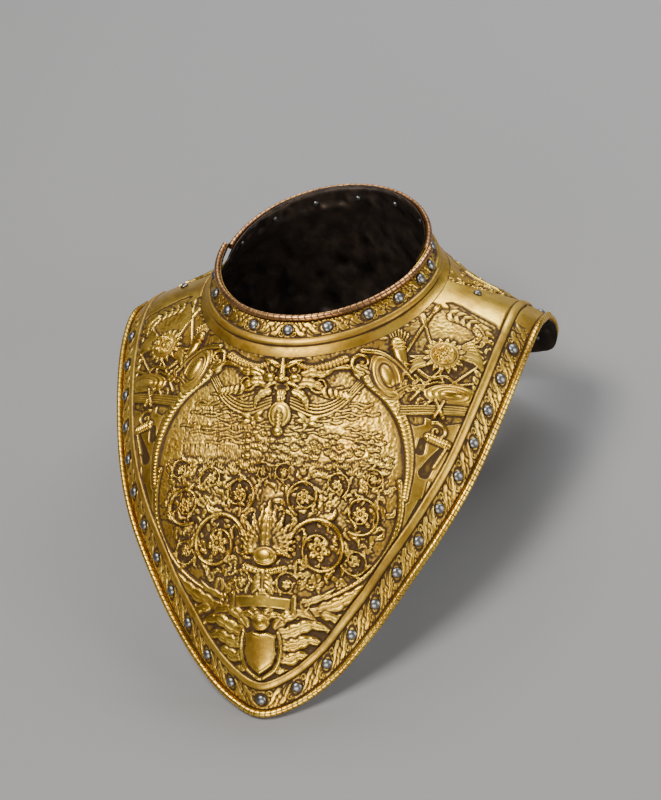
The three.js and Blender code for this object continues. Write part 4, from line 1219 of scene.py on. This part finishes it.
def build_back(gilt, rim_gilt, inside):
    """Back plate: collar band, border band and the field, each from one shoulder round to the other."""
    band, art = leaf_band_art(), back_art()

    def whole_turns(fine):
        under = np.linspace(1 - turns_near_seam(SHOULDER_LAP), UNDER_END, UNDER_COLUMNS)
        half = np.concatenate([under, np.linspace(1.0, 2.0, fine)])
        return np.concatenate([half, -half[-2::-1]])

    def piece(name, turns, distances, raise_of, material):
        whole, calm = slice(0, len(turns)), eased(raise_of)
        return plate_piece(name, turns, whole, distances, calm, back_lift, back_inner, material, inside)

    def field(base, turns, distances):
        share = (distances - FIELD_START) / (in_from_edge(turns, MOULDING_END) - FIELD_START)
        along = np.broadcast_to((np.abs(turns) - 1) * BACK_LENGTH, distances.shape)
        near = np.clip(np.minimum(share, 1 - share) * BACK_CHART_DEPTH / 1.5, 0, 1)
        layers = (art.height, art.recess, art.rub)
        height, recess, rub = (art.sample(layer, along, share * BACK_CHART_DEPTH) for layer in layers)
        # Painted shade close to the field's upper and lower edges
        return height * near, {"recess": np.clip(recess + 0.6 * (near < 0.6), 0, 1), "rub": rub * near}

    turns = whole_turns(BACK_COLLAR_GRID[0])
    d = rows_between(np.zeros_like(turns), np.full_like(turns, FIELD_START), BACK_COLLAR_GRID[1])
    collar = banded(band, from_rim, BACK_NECK_TURNS)
    pieces = [piece("back_collar", turns, np.clip(d, 0, None), collar, rim_gilt)]
    turns = whole_turns(BACK_BORDER_GRID[0])
    run, _ = to_edge(turns)
    d = trimmed(turns, rows_between(in_from_edge(turns, MOULDING_END), run, BACK_BORDER_GRID[1]))
    border = banded(band, from_edge, BACK_BORDER_TURNS)
    pieces.append(piece("back_border", turns, np.minimum(d, run), border, gilt))
    turns = whole_turns(BACK_FIELD_GRID[0])
    d = rows_between(np.full_like(turns, FIELD_START), in_from_edge(turns, MOULDING_END), BACK_FIELD_GRID[1])
    pieces.append(piece("back_field", turns, d, field, gilt))
    return pieces


ROPE_CUT_WIDTH, ROPE_CUT_DEPTH, ROPE_CLEAR = 0.075, 0.07, 0.5
EDGE_ROPE_PITCH, NECK_ROPE_PITCH = 4.0, 4.6
FRONT_ROPE_RINGS, NECK_ROPE_RINGS, BACK_ROPE_RINGS = 1900, 760, 480
BACK_ROPE_INSET, BACK_ROPE_SHARE = 1.15, 0.82


def rope(name, turns, distance_of, lift, half, pitch, material, around=12):
    """Roped rim: an oval section swept along the edge, with slanting cuts a pitch apart."""
    distances = distance_of(turns)
    base = surface(turns, distances[None, :] + np.array([-0.6, 0.0, 0.6])[:, None])
    normal = grid_normals(base)[1]
    middle = base[1] + normal * (lift(distances) + RIM_HEIGHT * 0.73)[:, None]
    along = np.gradient(middle, axis=0)
    along /= np.linalg.norm(along, axis=-1, keepdims=True)
    across = np.cross(normal, along)
    across /= np.linalg.norm(across, axis=-1, keepdims=True)
    run = np.concatenate([[0], np.cumsum(np.linalg.norm(np.diff(middle, axis=0), axis=1))])
    angle = np.linspace(0, 2 * math.pi, around, endpoint=False)
    phase = (run[:, None] / pitch + 0.28 * np.sin(angle)[None, :]) % 1.0
    cut = np.exp(-(((phase - 0.5) / ROPE_CUT_WIDTH) ** 2))
    size = 1 - ROPE_CUT_DEPTH * cut
    points = (middle[:, None] + across[:, None] * (half[0] * np.cos(angle)[None, :] * size)[..., None]
              + normal[:, None] * (half[1] * np.sin(angle)[None, :] * size)[..., None])
    rings = len(turns)
    ids = np.arange(rings * around).reshape(rings, around)
    ids = np.concatenate([ids, ids[:, :1]], axis=1)
    quads = quad_ring(ids)
    loops = np.concatenate([quads.ravel(), ids[0, :-1][::-1], ids[-1, :-1]])
    sizes = np.concatenate([np.full(len(quads), 4), [around, around]])
    face = points.reshape(-1, 3)[quads[len(quads) // 2]]
    facing = np.cross(face[1] - face[0], face[2] - face[1])
    if np.dot(facing, face.mean(0) - middle[rings // 2]) < 0:
        loops = np.concatenate([quads[:, ::-1].ravel(), ids[0, :-1], ids[-1, :-1][::-1]])
    starts = np.concatenate([[0], np.cumsum(sizes)[:-1]])
    # Painted highlight on the rope's outer half, which also takes less stain and is smoother; painted shade
    # in the cuts
    rub = np.clip(0.5 * np.sin(angle)[None, :] * (1 - cut), 0, 1)
    layers = {"recess": np.clip(cut * 0.95, 0, 1), "rub": rub}
    obj = fill_mesh(name, points.reshape(-1, 3), None, loops, starts, layers)
    obj.data.materials.append(material)
    return obj


def build_ropes(gilt, copper):
    """The four roped rims."""
    inset = RIM_WIDTH / 2

    def at_edge(turns):
        return in_from_edge(turns, inset)

    def at_back_edge(turns):
        return in_from_edge(turns, BACK_ROPE_INSET * inset)

    def at_neck(turns):
        return np.full(len(turns), inset)

    half = (inset, RIM_HEIGHT * 0.75)
    low_half = (inset * BACK_ROPE_SHARE, RIM_HEIGHT * 0.7)
    front, neck = (np.linspace(-1, 1, rings) for rings in (FRONT_ROPE_RINGS, NECK_ROPE_RINGS))
    back_half = np.linspace(1 + ROPE_CLEAR / BACK_CURVE[3], 2, BACK_ROPE_RINGS)
    back = np.concatenate([back_half, -back_half[-2::-1]])
    return [
        rope("front_edge_rope", front, at_edge, front_lift, half, EDGE_ROPE_PITCH, gilt),
        rope("front_neck_rope", neck, at_neck, front_lift, half, NECK_ROPE_PITCH, copper),
        rope("back_edge_rope", back, at_back_edge, back_lift, low_half, EDGE_ROPE_PITCH, gilt, 10),
        rope("back_neck_rope", back[::2], at_neck, back_lift, half, NECK_ROPE_PITCH, copper, 10),
    ]


# Rivets


def rivet_group(name, places, lift, radius, height, through, steel, sides=22):
    """Joined rivets: a domed head, its underside, a widening shank and its tail, turned about the normal."""
    arc = np.radians(np.linspace(7, 90, 8))
    tail = through + PIECE_GAP + TAIL_HEIGHT
    r = np.concatenate([radius * np.sin(arc), [radius * 0.97, SHANK_RADIUS, TAIL_RADIUS]])
    h = np.concatenate([PIECE_GAP - 0.15 + (height + 0.15) * np.cos(arc), [0.0, 0.0, -tail]])
    # Painted shade at the head's edge, under the head, on the shank and faintly on the tail
    painted_shade = np.concatenate([np.clip((np.sin(arc) - 0.93) * 12, 0, 1), [1, 1, 0.3]])
    angle = np.linspace(0, 2 * math.pi, sides, endpoint=False)
    points, values = [], []
    for turn, distance in places:
        point, normal = point_and_normal(turn, distance)
        point = point + normal * lift(np.array([distance]))[0]
        across = np.cross(normal, [0.0, 0.0, 1.0])
        across /= np.linalg.norm(across)
        other = np.cross(normal, across)
        ring = np.cos(angle)[:, None] * across + np.sin(angle)[:, None] * other
        points.append(point + r[:, None, None] * ring[None] + h[:, None, None] * normal)
        values.append(np.repeat(painted_shade[:, None], sides, axis=1))
    points = np.array(points)
    count, rows = points.shape[:2]
    ids = np.arange(count * rows * sides).reshape(count, rows, sides)
    closed = np.concatenate([ids, ids[:, :, :1]], axis=2)
    quads = np.stack([closed[:, :-1, :-1], closed[:, 1:, :-1], closed[:, 1:, 1:], closed[:, :-1, 1:]], -1)
    quads = quads.reshape(-1, 4)
    caps = np.concatenate([ids[:, 0], ids[:, -1, ::-1]])
    loops = np.concatenate([quads.ravel(), caps.ravel()])
    sizes = np.concatenate([np.full(len(quads), 4), np.full(len(caps), sides)])
    starts = np.concatenate([[0], np.cumsum(sizes)[:-1]])
    obj = fill_mesh(name, points.reshape(-1, 3), None, loops, starts, {"recess": np.array(values)})
    obj.data.materials.append(steel)
    return obj


def both_sides(turns):
    """Turns with their mirror images, the middle once."""
    return [t * s for t in turns for s in ((1,) if t in (0.0, 2.0) else (1, -1))]


def numbered(stem, count, first=0):
    """Names of the solids of a row of fastenings, middle, left and right."""
    names = [f"{stem}_middle"] if first == 0 else []
    for n in range(max(first, 1), count):
        names += [f"{stem}_left_{n:02d}", f"{stem}_right_{n:02d}"]
    return names


def build_rivets(steel, stud_steel):
    """All rivets and the two studs, with the names of the solids that each group stands for."""
    def on_collar(turn):
        return BAND_MIDDLE * COLLAR_SQUEEZE

    def on_border(turn):
        return float(in_from_edge(np.array([turn]), BAND_MIDDLE)[0])

    groups = []
    for stem, turns, distance_of, lift, count, first in (
        ("front_neck_rivet", FRONT_NECK_TURNS, on_collar, front_lift, len(FRONT_NECK_ANGLES), 0),
        ("front_border_rivet", FRONT_BORDER_TURNS, on_border, front_lift, BORDER_RIVETS + 1, 0),
        ("back_neck_rivet", BACK_NECK_TURNS, on_collar, back_lift, len(BACK_NECK_ANGLES), 0),
        ("back_border_rivet", BACK_BORDER_TURNS, on_border, back_lift, BACK_RIVETS + 1, 1),
    ):
        places = [(turn, distance_of(turn)) for turn in both_sides(turns)]
        heads = rivet_group(stem + "s", places, lift, RIVET_RADIUS, RIVET_HEIGHT, SHEET, steel)
        groups.append((heads, numbered(stem, count, first)))
    turn = 1 - turns_near_seam(STUD_INSET)
    m = meridian(np.array([turn]))
    distance = float((m["collar"] + m["field"] * STUD_REACH)[0])
    studs = rivet_group("studs", [(turn, distance), (-turn, distance)], lambda d: front_lift(d) + STUD_LIFT,
                        STUD_RADIUS, STUD_HEIGHT, 2 * SHEET + PIECE_GAP + SEAM_BAND_HEIGHT, stud_steel)
    return groups + [(studs, ["left_stud", "right_stud"])]


# Materials


class Wire:
    """A shader socket with arithmetic: each operation adds one node."""

    def __init__(self, tree, socket):
        self.tree, self.socket = tree, socket

    def math(self, operation, *others, clamp=False):
        node = self.tree.nodes.new("ShaderNodeMath")
        node.operation, node.use_clamp = operation, clamp
        for slot, value in zip(node.inputs, (self, *others)):
            if isinstance(value, Wire):
                self.tree.links.new(value.socket, slot)
            else:
                slot.default_value = value
        return Wire(self.tree, node.outputs[0])

    def __add__(self, other):
        return self.math("ADD", other)

    def __sub__(self, other):
        return self.math("SUBTRACT", other)

    def __mul__(self, other):
        return self.math("MULTIPLY", other)

    def __pow__(self, other):
        return self.math("POWER", other)

    __radd__, __rmul__ = __add__, __mul__

    def __rsub__(self, other):
        return (self * -1.0) + other

    def clamped(self):
        return self.math("ADD", 0.0, clamp=True)

    def step(self, low, high):
        """0 below low, 1 above high, smooth between."""
        node = self.tree.nodes.new("ShaderNodeMapRange")
        node.interpolation_type = "SMOOTHSTEP"
        self.tree.links.new(self.socket, node.inputs["Value"])
        node.inputs["From Min"].default_value, node.inputs["From Max"].default_value = low, high
        return Wire(self.tree, node.outputs["Result"])

    def mix(self, first, second):
        """Colour between two, by this socket."""
        node = self.tree.nodes.new("ShaderNodeMix")
        node.data_type = "RGBA"
        self.tree.links.new(self.socket, node.inputs[0])
        for slot, value in ((node.inputs[6], first), (node.inputs[7], second)):
            if isinstance(value, Wire):
                self.tree.links.new(value.socket, slot)
            else:
                slot.default_value = (*value, 1.0)
        return Wire(self.tree, node.outputs[2])


class Shader:
    """A material with one Principled shader and helpers that add nodes to it."""

    def __init__(self, name, **constants):
        self.material = bpy.data.materials.new(name)
        self.material.use_nodes = True
        self.tree = self.material.node_tree
        self.shader = self.tree.nodes["Principled BSDF"]
        for key, value in constants.items():
            self.shader.inputs[key.replace("_", " ")].default_value = value

    def node(self, kind, output=0, links=None, **values):
        """One node of a kind: values are its settings or socket defaults, links its linked inputs."""
        made = self.tree.nodes.new(kind)
        for key, value in values.items():
            if hasattr(made, key):
                setattr(made, key, value)
            else:
                made.inputs[key.replace("_", " ")].default_value = value
        for key, wire in (links or {}).items():
            self.tree.links.new(wire.socket, made.inputs[key])
        return Wire(self.tree, made.outputs[output])

    def attribute(self, name):
        return self.node("ShaderNodeAttribute", "Fac", attribute_name=name)

    def place(self):
        return self.node("ShaderNodeTexCoord", "Object")

    def noise(self, scale, detail=3.0, roughness=0.5):
        return self.node("ShaderNodeTexNoise", "Fac", {"Vector": self.place()}, Scale=scale, Detail=detail,
                         Roughness=roughness)

    def link(self, socket, wire):
        self.tree.links.new(wire.socket, self.shader.inputs[socket])

    def bump(self, wire, strength, distance):
        made = self.node("ShaderNodeBump", "Normal", {"Height": wire}, Strength=strength, Distance=distance)
        self.link("Normal", made)


def gilt_material(name, bright, deep, shade_and_stain_tone, roughness, patches=0.5):
    """Gilding: bright and deep tones in soft patches, a dark brown for painted shade in recesses and for real
    stains, lighter and smoother on raised parts, which is partly rubbing and partly painted highlight.
    """
    s = Shader(name, Metallic=1.0)
    recess, rub = s.attribute("recess"), s.attribute("rub")
    broad = s.noise(26.0, 4.0, 0.6).step(0.36, 0.66)
    cloud = s.noise(70.0, 5.0, 0.65)
    fine = s.noise(210.0, 3.0, 0.55)
    specks = s.noise(760.0, 3.0, 0.6)
    blotch = s.noise(38.0, 6.0, 0.7)
    # Raised parts lighter: partly rubbing, partly painted highlight
    tone = (broad * patches + cloud.step(0.36, 0.66) * 0.4 + fine * 0.25 - 0.2 + rub * 0.5).clamped()
    gold = tone.mix(deep, bright)
    stain = blotch.step(0.46, 0.68) * 0.42 + cloud.step(0.54, 0.76) * 0.24 + specks.step(0.58, 0.8) * 0.45
    # Painted shade from the recess shade attribute, plus real stains that rubbing keeps off
    shade_and_stain = (recess * 1.25 + recess * (fine - 0.4) * 0.9 + stain * (1.0 - rub)).clamped()
    s.link("Base Color", (shade_and_stain ** 0.85).mix(gold, shade_and_stain_tone))
    s.link("Metallic", 1.0 - shade_and_stain * 0.45)
    s.link("Roughness", (roughness + (cloud - 0.5) * 0.25 + shade_and_stain * 0.3 - rub * 0.1).clamped())
    s.bump(cloud * 0.8 + fine * 0.45 + specks * 0.3, 0.4, 0.0006)
    return s.material


def steel_material(name, colour, roughness):
    """Dark polished steel with a nearly black ring of painted shade under the head."""
    s = Shader(name, Metallic=1.0)
    painted_shade, fine = s.attribute("recess"), s.noise(300.0, 3.0, 0.6)
    s.link("Base Color", painted_shade.mix((fine * 0.7).clamped().mix(colour, tuple(c * 0.45 for c in colour)),
                                  (0.012, 0.010, 0.009)))
    s.link("Roughness", (roughness + fine * 0.16 + painted_shade * 0.3).clamped())
    s.bump(fine, 0.12, 0.0003)
    return s.material


def inside_material():
    """Bare dark inner face."""
    s = Shader("inside", Metallic=0.75)
    fine = s.noise(90.0, 5.0, 0.6)
    s.link("Base Color", fine.step(0.35, 0.7).mix((0.022, 0.016, 0.013), (0.055, 0.037, 0.026)))
    s.link("Roughness", (0.42 + fine * 0.25).clamped())
    s.bump(fine, 0.2, 0.0005)
    return s.material


# Stage

PHOTO_SIZE = (661, 800)
PHOTO_AZIMUTH, PHOTO_ELEVATION = math.radians(20.0), math.radians(6.3)
PHOTO_PIXELS_PER_MM = 1.392
NECK_PIXEL = (325.4, 247.5)
SENSOR = 36.0


def add_camera(distance):
    """Camera at the photo's angle to the leaning gorget, with the neck at its place in the picture."""
    ca, sa = math.cos(PHOTO_AZIMUTH), math.sin(PHOTO_AZIMUTH)
    ce, se = math.cos(PHOTO_ELEVATION), math.sin(PHOTO_ELEVATION)
    right, up = np.array([ca, sa, 0.0]), np.array([-sa * se, ca * se, ce])
    away = np.array([sa * ce, -ca * ce, se])
    off_x, off_y = PHOTO_SIZE[0] / 2 - NECK_PIXEL[0], PHOTO_SIZE[1] / 2 - NECK_PIXEL[1]
    aim = (right * off_x - up * off_y) / PHOTO_PIXELS_PER_MM
    place = to_world(aim + away * distance / METRES)
    data = bpy.data.cameras.new("camera")
    data.sensor_fit, data.sensor_height = "VERTICAL", SENSOR
    data.lens = PHOTO_PIXELS_PER_MM * distance / METRES / PHOTO_SIZE[1] * SENSOR
    camera = bpy.data.objects.new("camera", data)
    axes = np.stack([TURN @ right, TURN @ up, TURN @ away], axis=1)
    camera.matrix_world = Matrix.Translation(Vector(place)) @ Matrix(axes.tolist()).to_4x4()
    bpy.context.scene.collection.objects.link(camera)
    bpy.context.scene.camera = camera
    return camera


def add_light(name, camera, right, up, back, size, power, colour):
    """Area light placed by the camera's own axes round the gorget, in metres, facing the gorget."""
    axes = np.array(camera.matrix_world.to_3x3())
    centre = np.array([0.0, 0.0, 0.09])
    place = centre + axes @ np.array([right, up, back])
    data = bpy.data.lights.new(name, "AREA")
    data.shape, data.size, data.size_y = "RECTANGLE", size[0], size[1]
    data.energy, data.color = power, colour
    light = bpy.data.objects.new(name, data)
    light.location = place
    light.rotation_euler = Vector(centre - place).to_track_quat("-Z", "Y").to_euler()
    bpy.context.scene.collection.objects.link(light)
    return light


FLOOR_REACH, SKY_COLOUR = 6.0, (0.66, 0.64, 0.61)
LIGHTS = (
    # name, right, up and back of the gorget, size, share of the key power, colour
    ("key", -0.9, 1.1, 1.3, (0.9, 0.7), 1.0, (1.0, 0.96, 0.90)),
    ("fill", 1.5, 0.2, 1.0, (0.8, 1.2), 0.42, (1.0, 0.97, 0.93)),
    ("low front", -0.3, -0.9, 1.2, (1.0, 0.5), 0.3, (1.0, 0.96, 0.90)),
    ("top", 0.2, 1.6, 0.0, (1.4, 0.4), 0.5, (0.96, 0.98, 1.0)),
)


def add_stage(settings):
    """Pale floor, even surroundings and soft lights."""
    mesh = bpy.data.meshes.new("floor")
    corners = [(x * FLOOR_REACH, y * FLOOR_REACH, 0) for x, y in ((-1, -1), (1, -1), (1, 1), (-1, 1))]
    mesh.from_pydata(corners, [], [(0, 1, 2, 3)])
    floor = bpy.data.objects.new("floor", mesh)
    bpy.context.scene.collection.objects.link(floor)
    s = Shader("floor", Roughness=0.75)
    s.shader.inputs["Base Color"].default_value = (*settings.floor_colour, 1.0)
    mesh.materials.append(s.material)
    world = bpy.data.worlds.new("surroundings")
    world.use_nodes = True
    sky = world.node_tree.nodes["Background"]
    sky.inputs["Color"].default_value = (*SKY_COLOUR, 1.0)
    sky.inputs["Strength"].default_value = settings.surroundings
    bpy.context.scene.world = world
    camera = add_camera(settings.camera_distance)
    for name, right, up, back, size, share, colour in LIGHTS:
        add_light(name, camera, right, up, back, size, settings.key_power * share, colour)


# Add-on


class GorgetSettings(bpy.types.PropertyGroup):
    """Driving values of the gorget's looks."""

    pitch: FloatProperty(
        name="Grid pitch", description="Spacing of the field's grids in millimetres",
        default=0.58, min=0.3, max=5.0)
    bright: FloatVectorProperty(
        name="Bright gilding", description="Tone of clean gilding",
        subtype="COLOR", default=(1.0, 0.68, 0.10), min=0, max=1)
    deep: FloatVectorProperty(
        name="Deep gilding", description="Tone of worn gilding",
        subtype="COLOR", default=(0.62, 0.34, 0.035), min=0, max=1)
    # Dark brown for painted shade in recesses and for real stains
    shade_and_stain_tone: FloatVectorProperty(
        name="Tarnish", description="Tone of the recesses",
        subtype="COLOR", default=(0.055, 0.027, 0.006), min=0, max=1)
    floor_colour: FloatVectorProperty(
        name="Floor", description="Tone of the floor",
        subtype="COLOR", default=(0.215, 0.215, 0.22), min=0, max=1)
    surroundings: FloatProperty(
        name="Surroundings", description="Strength of the even light", default=0.16, min=0)
    key_power: FloatProperty(
        name="Key light", description="Power of the main light in watts", default=48.0, min=0, unit="POWER")
    camera_distance: FloatProperty(
        name="Camera distance", description="From the camera to the gorget in metres",
        default=1.8, min=0.5, unit="LENGTH")


# Copper gilding: bright, deep, and a dark tone for painted shade in recesses and for stains
COPPER_TONES = (0.62, 0.33, 0.12), (0.30, 0.14, 0.06), (0.04, 0.02, 0.01)
FINISHES = {}


def finishes(settings):
    """The materials, made once."""
    if not FINISHES:
        bright, deep, shade_and_stain_tone = map(tuple, (settings.bright, settings.deep, settings.shade_and_stain_tone))
        FINISHES.update(
            gilt=gilt_material("gilt", bright, deep, shade_and_stain_tone, 0.33),
            collar=gilt_material("collar gilt", tuple(0.64 * c for c in bright), deep, shade_and_stain_tone, 0.34),
            copper=gilt_material("worn copper gilt", *COPPER_TONES, 0.34),
            steel=steel_material("steel", (0.30, 0.30, 0.30), 0.28),
            stud_steel=steel_material("stud steel", (0.24, 0.23, 0.22), 0.3),
            inside=inside_material(),
        )
    return FINISHES


def settle(pieces, nodes=()):
    """Pieces ride on the gorget and stand for solids, which are hidden."""
    for piece in pieces:
        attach(piece, "root")
        if nodes:
            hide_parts(*nodes)


class GORGET_OT_front(bpy.types.Operator):
    """Build the front plate's pieces"""

    bl_idname, bl_label = "gorget.front", "Front plate"

    def execute(self, context):
        settings = context.scene.gorget
        made = finishes(settings)
        settle(build_front(front_art(), made["gilt"], made["collar"], made["inside"], settings.pitch),
               ["front_plate"])
        return {"FINISHED"}


class GORGET_OT_back(bpy.types.Operator):
    """Build the back plate's pieces"""

    bl_idname, bl_label = "gorget.back", "Back plate"

    def execute(self, context):
        made = finishes(context.scene.gorget)
        settle(build_back(made["gilt"], made["collar"], made["inside"]), ["back_plate"])
        return {"FINISHED"}


class GORGET_OT_ropes(bpy.types.Operator):
    """Build the roped rims"""

    bl_idname, bl_label = "gorget.ropes", "Roped rims"

    def execute(self, context):
        made = finishes(context.scene.gorget)
        for piece in build_ropes(made["gilt"], made["copper"]):
            front = piece.name.startswith("front")
            settle([piece], ["front_plate" if front else "back_plate"])
        return {"FINISHED"}


class GORGET_OT_rivets(bpy.types.Operator):
    """Build the rivets and studs"""

    bl_idname, bl_label = "gorget.rivets", "Rivets"

    def execute(self, context):
        made = finishes(context.scene.gorget)
        for piece, nodes in build_rivets(made["steel"], made["stud_steel"]):
            settle([piece], nodes)
        return {"FINISHED"}


class GORGET_OT_stage(bpy.types.Operator):
    """Set up the floor, lights and camera"""

    bl_idname, bl_label = "gorget.stage", "Stage"

    def execute(self, context):
        add_stage(context.scene.gorget)
        return {"FINISHED"}


class GORGET_PT_panel(bpy.types.Panel):
    """Buttons and driving values of the gorget."""

    bl_idname, bl_label, bl_category = "GORGET_PT_panel", "Gorget", "Gorget"
    bl_space_type, bl_region_type = "VIEW_3D", "UI"

    def draw(self, context):
        for name in GorgetSettings.__annotations__:
            self.layout.prop(context.scene.gorget, name)
        for step in STEPS:
            self.layout.operator(step)


STEPS = ("gorget.front", "gorget.back", "gorget.ropes", "gorget.rivets", "gorget.stage")
CLASSES = (
    GorgetSettings, GORGET_OT_front, GORGET_OT_back, GORGET_OT_ropes, GORGET_OT_rivets,
    GORGET_OT_stage, GORGET_PT_panel,
)


def register():
    for kind in CLASSES:
        bpy.utils.register_class(kind)
    bpy.types.Scene.gorget = PointerProperty(type=GorgetSettings)


def unregister():
    del bpy.types.Scene.gorget
    for kind in reversed(CLASSES):
        bpy.utils.unregister_class(kind)


def main():
    """Builds everything in order."""
    register()
    for step in STEPS:
        group, name = step.split(".")
        getattr(getattr(bpy.ops, group), name)()


if __name__ == "__main__":
    main()
